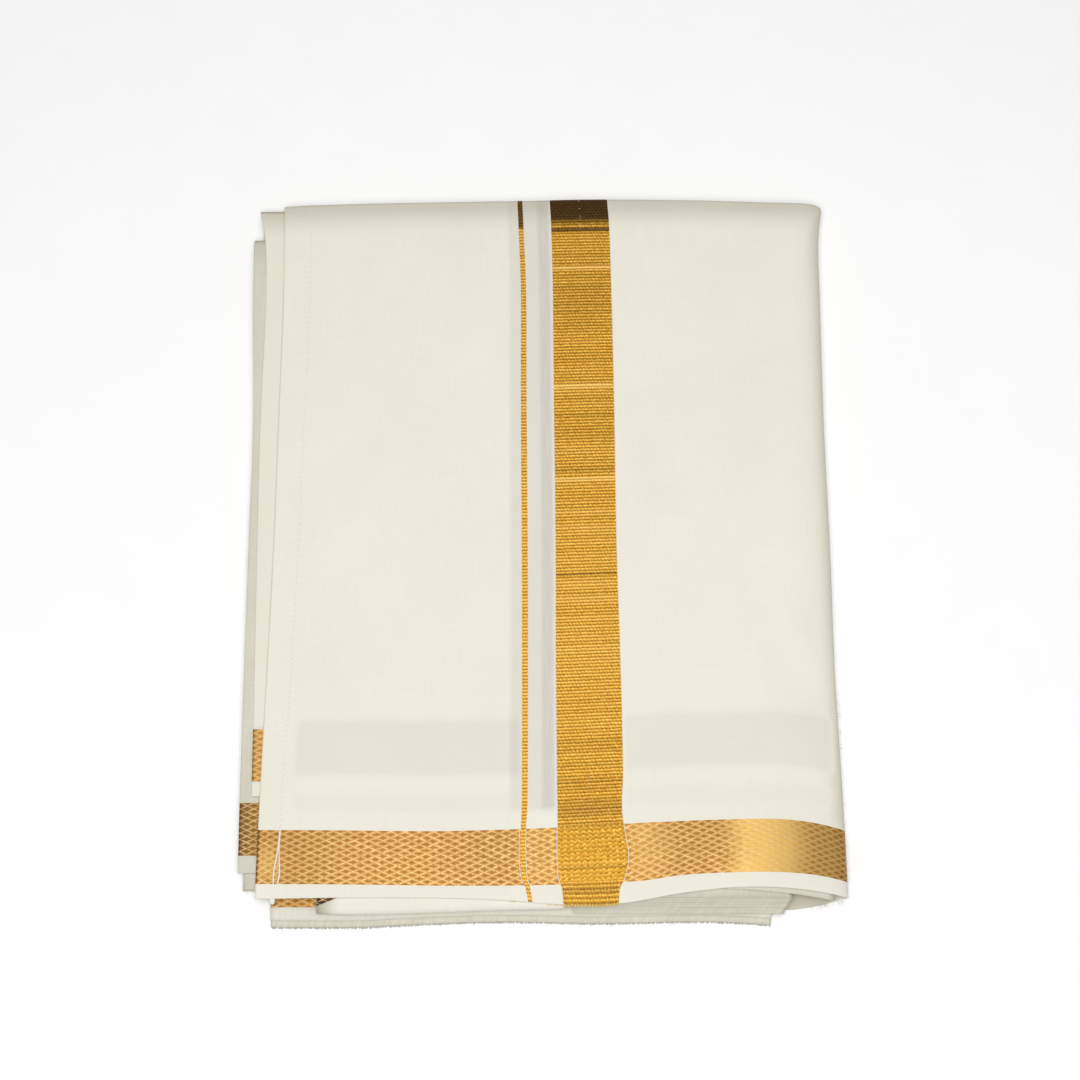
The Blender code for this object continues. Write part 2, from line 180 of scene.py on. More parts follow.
# Creases in the top layer: a trough sinks and a ridge, with a depth below 0, rises
Crease = namedtuple("Crease", "name route width depth")
CREASES = (
    Crease("trough beside the band", ((44, 76), (53, 46), (71, 13), (62, -15)), 11.0, 0.9),
    Crease("trough to the right edge", ((95, -15), (104, -43), (115, -66), (127, -74)), 10.0, 1.1),
    Crease("ridge above that trough", ((108, -28), (118, -50), (130, -62)), 5.0, -0.35),
    Crease("line across the left", ((-112, 133), (-70, 133.5), (-12, 133)), 1.6, 0.10),
    Crease("line across the right", ((34, 131), (80, 128), (120, 124.5)), 1.8, 0.12),
    Crease("wrinkle near the back", ((-98, 154), (-72, 153), (-48, 150.5)), 1.8, 0.12),
    Crease("wrinkle by the hem", ((-112, 149.5), (-96, 146), (-79, 140)), 1.9, 0.14),
    Crease("short wrinkle by the hem", ((-113, 141), (-104, 139.5), (-92, 140)), 1.5, 0.10),
    Crease("soft fold on the left", ((-96, 60), (-88, 10), (-92, -48), (-84, -96)), 9.0, 0.22),
    Crease("soft ridge on the left", ((-40, 92), (-46, 30), (-38, -34)), 12.0, -0.20),
    Crease("fold by the front right", ((62, -104), (84, -112), (112, -108)), 8.0, 0.22),
)

# Second layer: its selvedge stops well behind the first one, and it rises from below the hem
SECOND_FRONT_SHARE = 0.140
BESIDE_HEM = 0.5
CLEAR_OF_HEM = 9.0
SECOND_AT_HEM = 2.2
SECOND_MARGIN = 6.6

# How far from the hem an under sheet's columns lie close together
HEM_STRETCH = 15.0

# Third layer: where it starts and ends, how far it reaches in, and its own margin
THIRD_SHARES = (0.036, 0.955)
THIRD_INNER = -98.0
THIRD_MARGIN = 7.6

# Centre fold: where its front lies and how far it hangs, from left to right
Roll = namedtuple("Roll", "x y drop")
ROLLS = (
    Roll(-98.0, -165.4, 5.6),
    Roll(-84.0, -165.8, 6.2),
    Roll(-60.0, -165.4, 6.2),
    Roll(-20.0, -164.0, 5.8),
    Roll(11.0, -163.4, 5.2),
)
ROLL_BACK = -158.1
ROLL_LIP = 0.9
# Where it starts and ends, how far back its top may reach, and the points of one section
ROLL_LEFT, ROLL_RIGHT = -98.0, 10.3
ROLL_REACH = -119.0
ROLL_POINTS = 25

# A bit of border that shows on the centre fold's open end
BIT_LEFT, BIT_RIGHT = -97.8, -89.0
BIT_FRONT, BIT_BACK = -162.4, -158.9

# Inner fold: how far it stands out in front of the top layer's selvedge
INNER_LEFT = 14.5
INNER_ANGLE = 60.0
INNER_OUT = (
    Edge(14.0, -2.0),
    Edge(62.0, -2.0),
    Edge(80.0, 0.2),
    Edge(100.0, 1.8),
    Edge(131.0, 2.6),
)

# Lower leaf: its front edge, from left to right
LEAF_LEFT = -118.8
LEAF_RIGHT = 101.0
LEAF_BACK = -158.3
LEAF_TOP = 4.75
LEAF_FRONT = (
    Edge(-118.8, -170.3),
    Edge(-79.0, -170.3),
    Edge(-62.0, -169.4),
    Edge(-18.0, -167.9),
    Edge(26.0, -168.6),
    Edge(70.0, -167.8),
    Edge(92.0, -168.6),
    Edge(101.0, -169.4),
)

# Hidden folds: a row for each fold, from the bottom up, with how far it stands out at its sides and
# back, and where the left and the right part of its front lie
Fold = namedtuple("Fold", "left back right front_left front_right")
FOLDS = (
    Fold(-2.6, -3.4, -2.0, -157.5, -157.5),
    Fold(0.2, -0.6, -0.5, -157.4, -157.4),
    Fold(0.8, -1.0, 0.0, -157.8, -165.2),
    Fold(-1.4, 0.2, 0.0, -157.2, -162.8),
    Fold(0.4, -0.8, -0.5, -157.6, -160.8),
    Fold(-0.6, -0.4, -2.6, -157.3, -158.8),
)
CORE_LEFT = -130.6
CORE_CORNER = 2.9
CORNER_FROM, CORNER_TO = -124.0, -110.0
UNDER_BACK_CURL = 0.94
STEP_OUT_FROM, STEP_OUT_TO = 11.2, 14.4
BACK_INSET = 0.4
LEAVES_IN_FOLD = 2
# Points across and along the outline of a fold, and the rings that close the stack on top
RING_PLACES = (130, 160)
CAP_SHARES = (0.05, 0.3, 0.6, 0.85, 0.97)
# How many waves a leaf's edge makes on its way round, and how high they are
WAVES, WAVE = (5, 11, 23), 0.14
# One rounded leaf from its top down: how far it moves in, and the share of its height
Bend = namedtuple("Bend", "inset up")
LEAF_BENDS = (Bend(0.32, 0.98), Bend(0.1, 0.82), Bend(0.0, 0.50), Bend(0.1, 0.18), Bend(0.32, 0.02))
# How much of the way to the next fold's own front the front of a fold leans back, and how much of the
# bends is left there, where the leaves are pressed close
LEANING = 1.0
PRESSED_FRONT = 0.3
# How the front right corner of the folds slants: its reach, and the height that keeps its place
CORNER_SLANT, SLANT_FROM = 9.0, 0.42


def linear(code):
    """A colour for the shaders from its sRGB hex code."""
    shares = [int(code[i : i + 2], 16) / 255 for i in (0, 2, 4)]
    return tuple(s / 12.92 if s <= 0.04045 else ((s + 0.055) / 1.055) ** 2.4 for s in shares)


def read(table, column, at):
    """The values of a table's column at places between its rows, on a smooth curve."""
    places = np.array([row[0] for row in table], float)
    values = np.array([getattr(row, column) for row in table], float)
    last = len(places) - 1
    at = np.clip(np.asarray(at, float), places[0], places[-1])
    before = np.clip(np.searchsorted(places, at, side="right") - 1, 0, last - 1)
    left, right = np.maximum(np.arange(last + 1) - 1, 0), np.minimum(np.arange(last + 1) + 1, last)
    slopes = (values[right] - values[left]) / (places[right] - places[left])
    width = places[before + 1] - places[before]
    share = (at - places[before]) / width
    rise = values[before + 1] - values[before]
    start, end = slopes[before] * width, slopes[before + 1] * width
    curve = (3 * rise - 2 * start - end) * share**2 + (start + end - 2 * rise) * share**3
    return values[before] + start * share + curve


def eased(value, low, high):
    """0 below low, 1 above high, and a smooth rise between them."""
    share = np.clip((np.asarray(value, float) - low) / (high - low), 0.0, 1.0)
    return share * share * (3 - 2 * share)


def spaced(start, end, step):
    """Even places from start to end, no further apart than the step."""
    return np.linspace(start, end, max(math.ceil(abs(end - start) / step), 1) + 1)


def distance_to_route(x, y, route):
    """The distance from places to the nearest stretch of a route."""
    nearest = np.full(np.broadcast(x, y).shape, np.inf)
    for (x0, y0), (x1, y1) in zip(route, route[1:]):
        run, rise = x1 - x0, y1 - y0
        along = np.clip(((x - x0) * run + (y - y0) * rise) / (run**2 + rise**2), 0.0, 1.0)
        nearest = np.minimum(nearest, np.hypot(x - x0 - along * run, y - y0 - along * rise))
    return nearest


def relief(x, y):
    """The height of the top layer before the right fold turns it down."""
    height = np.full(np.broadcast(x, y).shape, LEVEL)
    for hill in HILLS:
        across, along = (x - hill.x) / hill.spread_x, (y - hill.y) / hill.spread_y
        height = height + hill.rise * np.exp(-across * across - along * along)
    for crease in CREASES:
        away = distance_to_route(x, y, crease.route) / crease.width
        height = height - crease.depth * np.exp(-away * away)
    return height


def surface(x, y):
    """The height of the top layer anywhere on it, the right fold included."""
    fold_width, tip = read(SECTIONS, "fold_width", y), read(SECTIONS, "tip", y)
    into_fold = np.clip((x - read(SECTIONS, "right", y) + fold_width) / fold_width, 0.0, 1.0)
    return tip + (relief(x, y) - tip) * np.sqrt(1 - into_fold * into_fold)


def second_depth(x, y):
    """How deep the second layer lies: below the hem at the left, and just below the top elsewhere."""
    stitch = read(SECTIONS, "stitch", y)
    return STEP + (SECOND_AT_HEM - STEP) * (1 - eased(x, stitch + BESIDE_HEM, stitch + CLEAR_OF_HEM))


# A column of a sheet's grid: its kind, its place of that kind, how deep it is turned under
Column = namedtuple("Column", "kind at deep")
# A sheet in the pile: its columns' main lines across, their U, its rows, its depth and its left edge
Layer = namedtuple("Layer", "lines lines_u row depth edge")


def top_lines(y):
    """The main lines of the top layer, from the rounded edge of its hem to the right fold."""
    woven = [read(WOVEN, name, y) for name in Woven._fields[1:]]
    return [read(SECTIONS, "top", y) + HEM_ROUND, read(SECTIONS, "stitch", y), *woven, fold_start(y)]


def top_row(x, v):
    """Where a line at one distance from the top selvedge lies."""
    front, back = read(FRONT, "y", x), read(BACK, "y", x) - BACK_ROUND
    near, far = read(BORDER, "near", x), read(BORDER, "far", x)
    y = front + (near - front) * np.clip(v / MARGIN, 0.0, 1.0)
    y = y + (far - near) * np.clip((v - MARGIN) / (BORDER_END - MARGIN), 0.0, 1.0)
    return y + (back - far) * np.clip((v - BORDER_END) / (V_BACK - BORDER_END), 0.0, 1.0)


def under_row(x, v):
    """The same on the underside, whose selvedge has its own line."""
    front = read(UNDER_FRONT, "y", x)
    return front + (read(BACK, "y", x) - BACK_ROUND - front) * np.clip(v / V_BACK, 0.0, 1.0)


def solid_row(x, share):
    """Where a row of the solids lies, at its share of the way from the front to the back."""
    straight = FRONT_MIDDLE + share * (read(BACK, "y", x) - BACK_ROUND - FRONT_MIDDLE)
    return straight + (read(FRONT, "y", x) - FRONT_MIDDLE) * (1 - share) ** 3


def second_row(x, v):
    """The same for the second layer, from its own selvedge."""
    front, back = solid_row(x, SECOND_FRONT_SHARE), solid_row(x, 1.0)
    return front + (back - front) * v / second_length()


def second_length():
    """The second layer's length from its selvedge to where its back fold begins."""
    return V_BACK * (1 - SECOND_FRONT_SHARE)


def third_row(x, v):
    """The same for the third layer, from its own selvedge."""
    front, back = solid_row(x, THIRD_SHARES[0]), solid_row(x, THIRD_SHARES[1])
    return front + (back - front) * v / third_length()


def third_length():
    """The third layer's length, as far as it is made."""
    return V_BACK * (THIRD_SHARES[1] - THIRD_SHARES[0])


def inner_row(x, v):
    """The same for the inner fold, whose front stands out of the open fold."""
    return solid_row(x, 0.0) + v - read(INNER_OUT, "y", x) * (1 - eased(v, 0.0, 5.0))


def fold_start(y):
    """Where the right fold begins."""
    return read(SECTIONS, "right", y) - read(SECTIONS, "fold_width", y)


TOP = Layer(
    top_lines,
    (HEM_EDGE_U, STITCH_U, *LINE_U, *BAND_U),
    top_row,
    lambda x, y: 0.0 * x,
    "top",
)
SECOND = Layer(
    lambda y: [read(SECTIONS, "second", y) + HEM_ROUND, fold_start(y)],
    (HEM_EDGE_U, 210.0),
    second_row,
    second_depth,
    "second",
)
THIRD = Layer(
    lambda y: [read(SECTIONS, "third", y) + HEM_ROUND, np.full(np.shape(y), THIRD_INNER)],
    (HEM_EDGE_U, 36.0),
    third_row,
    lambda x, y: second_depth(x, y) + STEP,
    "third",
)
INNER = Layer(
    lambda y: [np.full(np.shape(y), INNER_LEFT), fold_start(y)],
    (HEM_EDGE_U, 70.0),
    inner_row,
    lambda x, y: STEP + 0.0 * x,
    None,
)


def column_place(layer, column, v):
    """A column's points on a layer, which way it faces there, and how deep it lies."""
    v_flat = np.minimum(v, V_BACK)

    def across(y):
        right, width = read(SECTIONS, "right", y), read(SECTIONS, "fold_width", y)
        if column.kind == "turned":
            return read(SECTIONS, layer.edge, y) + column.at
        if column.kind == "flat":
            lines = layer.lines(y)
            k = min(int(column.at), len(lines) - 2)
            return lines[k] + (column.at - k) * (lines[k + 1] - lines[k])
        if column.kind == "fold":
            return right - width + width * math.sin(math.radians(column.at))
        if column.kind == "return":
            under_width = read(SECTIONS, "under_width", y)
            return right - under_width + under_width * math.sin(math.radians(column.at))
        return np.full(np.shape(y), column.at)

    y = np.zeros(len(v))
    for _ in range(3):
        x = across(y)
        if column.kind == "under":
            y = under_row(x, v_flat)
        elif column.kind == "return":
            below = eased(90.0 - column.at, 0.0, 55.0)
            y = layer.row(x, v_flat) * (1 - below) + under_row(x, v_flat) * below
        else:
            y = layer.row(x, v_flat)
    x = across(y)
    width, tip = read(SECTIONS, "fold_width", y), read(SECTIONS, "tip", y)
    turn = math.radians(column.at) if column.kind in ("fold", "return") else 0.0
    if column.kind == "fold":
        out_x, out_z = (relief(x, y) - tip) * math.sin(turn), width * math.cos(turn)
    elif column.kind == "return":
        out_x, out_z = tip * math.sin(turn), -read(SECTIONS, "under_width", y) * math.cos(turn)
    elif column.kind == "under":
        out_x, out_z = np.zeros(len(v)), -np.ones(len(v))
    else:
        out_x, out_z = surface(x - 0.5, y) - surface(x + 0.5, y), np.ones(len(v))
    length = np.hypot(out_x, out_z)
    if column.kind == "return":
        z = tip * (1 - math.cos(turn))
    elif column.kind == "under":
        z = np.zeros(len(v))
    else:
        z = surface(x, y)
    deep = layer.depth(x, y) + column.deep
    return x, y, z, out_x / length, out_z / length, deep


def grid_points(layer, columns, v, lift=0.0):
    """Points of a sheet's grid as an array of rows and columns, with the U of each."""
    v = np.asarray(v, float)
    points = np.zeros((len(v), len(columns), 3))
    cloth_u = np.zeros((len(v), len(columns)))
    past = np.maximum(v - V_BACK, 0.0)
    turned, straight = np.minimum(past / CURL_LENGTH, 1.0), np.maximum(past - CURL_LENGTH, 0.0)
    for i, column in enumerate(columns):
        x, y, z, out_x, out_z, deep = column_place(layer, column, v)
        returning = {"return": (90.0 - column.at) / 108.0, "under": 1.0}.get(column.kind, 0.0)
        inside = second_depth(x, y) if returning == 0.0 else STEP
        radius = (inside + STEP + WALL) / 2 - deep
        full_turn = math.radians(TOP_CURL + (UNDERSIDE_CURL - TOP_CURL) * returning)
        angle = full_turn * turned
        run = straight * (LIP * returning / TUCKED_UNDER - (1 - returning))
        inwards = deep + radius * (1 - np.cos(angle)) - lift * np.cos(angle)
        along = (radius + lift) * np.sin(angle) + run
        points[:, i] = np.stack([x - out_x * inwards, y + along, z - out_z * inwards], axis=1)
        if column.kind == "turned":
            cloth_u[:, i] = -column.at
        elif column.kind == "flat" and column.at <= len(layer.lines_u) - 1:
            cloth_u[:, i] = np.interp(column.at, range(len(layer.lines_u)), layer.lines_u)
        else:
            step = points[:, i] - points[:, i - 1]
            cloth_u[:, i] = cloth_u[:, i - 1] + np.hypot(step[:, 0], step[:, 2])
    return points, cloth_u


def turned_columns(layer, reach):
    """The part of a hem that lies underneath, and its rounded edge, from the inside out."""
    return [Column("turned", at, 2 * HEM_ROUND) for at in spaced(reach, HEM_ROUND, 1.8)] + hem_bend(0.0)


def hem_bend(lift):
    """The rounded edge of a hem, from underneath to the top, some way outside the cloth."""
    columns = []
    for angle in np.radians(np.linspace(180.0, 0.0, 9))[1:-1]:
        aside, down = (HEM_ROUND - (HEM_ROUND + lift) * turn for turn in (math.sin(angle), math.cos(angle)))
        columns.append(Column("turned", aside, down + lift))
    return columns


def flat_columns(first, last, counts):
    """Columns between main lines, with a number of even steps for each stretch."""
    columns = []
    for k, count in zip(range(first, last), counts):
        columns += [Column("flat", k + i / count, 0.0) for i in range(count)]
    return columns + [Column("flat", float(last), 0.0)]


def edge_first(places):
    """The same places with a narrow first step, so that a cut edge looks crisp."""
    return np.concatenate([[places[0], places[0] + 0.35], places[1:]])


def rectangle(u, v, patch):
    """1 inside a patch of cloth, 0 outside, with soft edges."""
    inside_u = eased(u, patch.u0 - patch.soft, patch.u0 + patch.soft)
    inside_u = inside_u * (1 - eased(u, patch.u1 - patch.soft, patch.u1 + patch.soft))
    inside_v = eased(v, patch.v0 - patch.soft, patch.v0 + patch.soft)
    return inside_u * inside_v * (1 - eased(v, patch.v1 - patch.soft, patch.v1 + patch.soft))


def patched(u, v, patches, start):
    """A value that is the same all over the cloth, apart from some patches."""
    return start + sum(patch.amount * rectangle(u, v, patch) for patch in patches)


def linked(name, data):
    """A new object in the scene."""
    made = bpy.data.objects.new(name, data)
    bpy.context.scene.collection.objects.link(made)
    return made


def select_only(made):
    """Selects one object and makes it the active one."""
    bpy.ops.object.select_all(action="DESELECT")
    made.select_set(True)
    bpy.context.view_layer.objects.active = made


def grid_object(name, points, cloth_u, cloth_v, materials, shade=0.0, slot_of=None, wall=0.0):
    """A sheet through a grid of points in millimetres. Its attribute keeps U, V and the shade."""
    along, across = points.shape[:2]
    flat = (points.reshape(-1, 3) - (0.0, MIDDLE_Y, 0.0)) * MM
    index = np.arange(along * across).reshape(along, across)
    corners = [index[:-1, :-1], index[:-1, 1:], index[1:, 1:], index[1:, :-1]]
    mesh = bpy.data.meshes.new(name)
    mesh.from_pydata(flat.tolist(), [], np.stack(corners, axis=-1).reshape(-1, 4).tolist())
    cloth = mesh.attributes.new("cloth", "FLOAT_VECTOR", "POINT")
    places = np.stack([cloth_u, cloth_v, shade + 0.0 * cloth_u], axis=-1)
    cloth.data.foreach_set("vector", places.astype(np.float32).ravel())
    for material in materials:
        mesh.materials.append(material)
    if slot_of:
        middle_u = (cloth_u[:-1, :-1] + cloth_u[1:, 1:]) / 2
        middle_v = (cloth_v[:-1, :-1] + cloth_v[1:, 1:]) / 2
        mesh.polygons.foreach_set("material_index", slot_of(middle_u, middle_v).astype(np.int32).ravel())
    made = linked(name, mesh)
    if wall:
        thicken(made, wall)
    made.data.shade_smooth()
    return made


def thicken(made, wall):
    """Gives a sheet its thickness, on its inner side."""
    solidify = made.modifiers.new("thickness", "SOLIDIFY")
    solidify.thickness = wall * MM
    solidify.offset = -1.0
    select_only(made)
    bpy.ops.object.modifier_apply(modifier=solidify.name)


def settle(made, *nodes):
    """Puts a finished piece on the object's one body, in place of its solids."""
    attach(made, "root")
    if nodes:
        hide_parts(*nodes)
    return made


def cut_of(points):
    """The flat width and length of a sheet, in metres, along its own rows and columns."""
    width = np.linalg.norm(np.diff(points, axis=1), axis=2).sum(axis=1).mean()
    length = np.linalg.norm(np.diff(points, axis=0), axis=2).sum(axis=0).mean()
    return width * MM, length * MM


def all_along(rows, columns):
    """V for each point of a grid, from the V of its rows."""
    return np.repeat(np.asarray(rows)[:, None], len(columns), axis=1)


def length_property(name, description, millimetres):
    return FloatProperty(name=name, description=description, default=millimetres * MM, unit="LENGTH")


class DhotiSizes(bpy.types.PropertyGroup):
    """Sizes of the cloth, its sewing and its woven patterns"""

    cloth: length_property("Cloth", "Thickness of a layer that shows", 0.5)
    grid: length_property("Grid", "Distance between the rows of a sheet", 2.0)
    stitch_pitch: length_property("Stitch pitch", "From one hem stitch to the next", 2.5)
    rib_pitch: length_property("Rib pitch", "Between the ribs of the band", 1.48)
    rib_height: length_property("Rib height", "How far a rib stands out", 0.12)
    bead_pitch: length_property("Bead pitch", "Between the beads along a rib", 1.58)
    knot_pitch: length_property("Knot pitch", "Between knots where borders cross", 2.6)
    diamond_width: length_property("Diamond width", "Between diamonds in a row", 6.0)
    diamond_height: length_property("Diamond height", "Between diamonds in a column", 2.7)


def colour_property(name, description, code):
    return FloatVectorProperty(
        name=name, description=description, default=linear(code), subtype="COLOR", min=0.0, max=1.0
    )


class DhotiColours(bpy.types.PropertyGroup):
    """Colours of the cotton and the gold thread, some of them painted shade and painted sheen"""

    cotton: colour_property("Cotton", "Bleached cotton, double", "EEEADD")
    thin_cotton: colour_property("Thin cotton", "Bleached cotton where its threads part", "E6E2D4")
    seen_through: colour_property("Seen through", "Cotton with a border close below it", "CBC5BD")
    # Painted shade: the same white cotton made greyer still, for the leaf edges, the third sheet and the
    # lower leaf, where shade falls
    deep_shade_cotton: colour_property("Dull cotton", "Cotton at the worn edges of the leaves", "CAC5B2")
    # Painted shade: the colour the cotton is given where it turns away over a fold's edge or into an open
    # fold
    turning_shade: colour_property("Turned cotton", "Cotton that turns over or into a fold", "B4AE9A")
    # Painted shade: a warmer, darker colour for the hem's rounded edge where it turns down; the cloth there
    # is as white as elsewhere
    hem_edge_shade: colour_property("Hem edge", "The turned edge of the hem, a little yellowed", "E8E1CF")
    # Painted shade: the same white cotton made greyer, for cloth inside and below the folds, where shade
    # falls
    fold_shade_cotton: colour_property("Grey cotton", "Cotton inside the folds", "DAD7C9")
    gold: colour_property("Gold", "Gold thread on a rib", "D8A22A")
    # Partly painted shade: the gold thread between ribs, made darker also for the shade in the hollows there
    gold_deep_and_shade: colour_property("Deep gold", "Gold thread between ribs", "96600A")
    gold_glint: colour_property("Glint", "Gold thread where it catches the light", "F0CC68")
    gold_line: colour_property("Woven line", "Cotton and gold in the lines between diamonds", "D2B382")
    gold_rim: colour_property("Diamond rim", "Gold thread round a diamond", "BE9148")
    gold_brown: colour_property("Diamond", "Gold thread inside a diamond", "996726")
    # Painted sheen and painted shade: bright gold where the gold lies open to the light, and turned gold, a
    # painted dark reflection and shade, where it turns away over a fold
    gold_bright: colour_property("Bright gold", "Gold thread that lies open to the light", "EABF6B")
    gold_turned: colour_property("Turned gold", "Gold thread that turns over a fold", "33200A")


def sizes():
    return bpy.context.scene.dhoti_sizes


def tone(name):
    """One of the colours, as a shader takes it."""
    return (*getattr(bpy.context.scene.dhoti_colours, name), 1.0)


def add(tree, kind, settings=(), inputs=(), out=0):
    """Adds one node with its settings, sets or links its inputs, and gives one of its outputs."""
    made = tree.nodes.new("ShaderNode" + kind)
    for name, value in dict(settings).items():
        setattr(made, name, value)
    for name, value in dict(inputs).items():
        if isinstance(value, bpy.types.NodeSocket):
            tree.links.new(value, made.inputs[name])
        else:
            made.inputs[name].default_value = value
    return made.outputs[out]


# The sockets of a node that mixes two colours
RGBA = {"data_type": "RGBA"}
FACTOR, FIRST, SECOND_COLOUR, MIXED = 0, 6, 7, 2
# Settings that several nodes share
MULTIPLY_ADD = {"operation": "MULTIPLY_ADD"}
CLAMPED_ADD = {"operation": "ADD", "use_clamp": True}
CLAMPED_MULTIPLY = {"operation": "MULTIPLY", "use_clamp": True}
PINGPONG = {"operation": "PINGPONG"}
SMOOTHSTEP = {"interpolation_type": "SMOOTHSTEP"}


def surface_of(colour, roughness, height, depth, tree, shader_values):
    """Ends a material: its colour, roughness and bumps, and values that are the same all over."""
    shader = tree.nodes["Principled BSDF"]
    tree.links.new(colour, shader.inputs["Base Color"])
    tree.links.new(roughness, shader.inputs["Roughness"])
    for socket, value in shader_values.items():
        shader.inputs[socket].default_value = value
    bumps = add(tree, "Bump", {}, {"Height": height, "Distance": depth * MM, "Strength": 1.0})
    tree.links.new(bumps, shader.inputs["Normal"])


def new_material(name):
    """An empty material and its node tree."""
    made = bpy.data.materials.new(name)
    made.use_nodes = True
    return made, made.node_tree


COTTON_SHINE = {"Specular IOR Level": 0.22, "Sheen Weight": 0.08, "Sheen Roughness": 0.5}
ZARI_SHINE = {"Metallic": 0.4, "Specular IOR Level": 0.25}


def plain_weave(name, white="cotton", thin="thin_cotton", back=V_BACK):
    """Bleached cotton, woven plain, starched and pressed: matt, a little uneven, greyer where a border
    lies close below it (a shade above 0), with painted shade towards the back fold, by V, and where it
    turns away or into a fold (a shade below 0). The threads are drawn 0.7 mm apart, twice their real
    distance, because finer ones wouldn't show."""
    made, tree = new_material(name)
    cloth = add(tree, "Attribute", {"attribute_name": "cloth"}, {}, "Vector")
    v, shade = (add(tree, "SeparateXYZ", {}, {0: cloth}, axis) for axis in "YZ")
    place = add(tree, "TexCoord", {}, {}, "Object")
    cloud = add(tree, "TexNoise", {}, {"Vector": place, "Scale": 30.0, "Detail": 4.0})
    lengthwise = add(tree, "Mapping", {}, {"Vector": cloth, "Scale": (1.43, 0.07, 0.0)})
    crosswise = add(tree, "Mapping", {}, {"Vector": cloth, "Scale": (0.07, 1.43, 0.0)})
    warp = add(tree, "TexNoise", {}, {"Vector": lengthwise, "Scale": 1.0, "Detail": 2.0})
    weft = add(tree, "TexNoise", {}, {"Vector": crosswise, "Scale": 1.0, "Detail": 2.0})
    threads = add(tree, "Math", {"operation": "ADD"}, {0: warp, 1: weft})
    uneven = add(tree, "Math", MULTIPLY_ADD, {0: threads, 1: 0.8, 2: -0.8})
    uneven = add(tree, "Math", CLAMPED_ADD, {0: uneven, 1: cloud})
    base = add(tree, "Mix", RGBA, {FACTOR: uneven, FIRST: tone(thin), SECOND_COLOUR: tone(white)}, MIXED)
    streaked = add(tree, "Math", MULTIPLY_ADD, {0: warp, 1: 1.0, 2: 0.5})
    through = add(tree, "Math", CLAMPED_MULTIPLY, {0: shade, 1: streaked})
    inputs = {FACTOR: through, FIRST: base, SECOND_COLOUR: tone("seen_through")}
    colour = add(tree, "Mix", RGBA, inputs, MIXED)
    # Painted shade: towards the turning shade colour over the last 16 mm before the back fold, and where the
    # shade is below 0
    inputs = {0: v, "From Min": back - 16.0, "From Max": back + 2.0, "To Max": 0.52}
    over = add(tree, "MapRange", SMOOTHSTEP, inputs)
    inside = add(tree, "Math", CLAMPED_MULTIPLY, {0: shade, 1: -1.0})
    dull = add(tree, "Math", {"operation": "MAXIMUM"}, {0: over, 1: inside})
    inputs = {FACTOR: dull, FIRST: colour, SECOND_COLOUR: tone("turning_shade")}
    colour = add(tree, "Mix", RGBA, inputs, MIXED)
    rough = add(tree, "Math", MULTIPLY_ADD, {0: threads, 1: 0.1, 2: 0.78})
    surface_of(colour, rough, threads, 0.05, tree, COTTON_SHINE)
    return made


def leaf_edges(name, white="fold_shade_cotton", thin="deep_shade_cotton"):
    """Edges of pressed cotton leaves: the same cloth, seen across its folds, in greyer colours that paint
    the shade on them, with a fine nap and soft slanting lines where its threads bend over."""
    made, tree = new_material(name)
    place = add(tree, "TexCoord", {}, {}, "Object")
    cloud = add(tree, "TexNoise", {}, {"Vector": place, "Scale": 60.0, "Detail": 4.0})
    nap = add(tree, "TexNoise", {}, {"Vector": place, "Scale": 1500.0, "Detail": 2.0})
    inputs = {"Vector": place, "Rotation": (0.0, 0.6, 0.0), "Scale": (0.0012, 0.02, 0.012)}
    slanting = add(tree, "Mapping", {"vector_type": "TEXTURE"}, inputs)
    lines = add(tree, "TexNoise", {}, {"Vector": slanting, "Scale": 1.0, "Detail": 1.0})
    dimmed = add(tree, "Math", MULTIPLY_ADD, {0: lines, 1: 1.2, 2: -0.6})
    cloud = add(tree, "Math", CLAMPED_ADD, {0: dimmed, 1: cloud})
    colour = add(tree, "Mix", RGBA, {FACTOR: cloud, FIRST: tone(thin), SECOND_COLOUR: tone(white)}, MIXED)
    rough = add(tree, "Math", MULTIPLY_ADD, {0: nap, 1: 0.1, 2: 0.82})
    surface_of(colour, rough, nap, 0.06, tree, COTTON_SHINE)
    return made


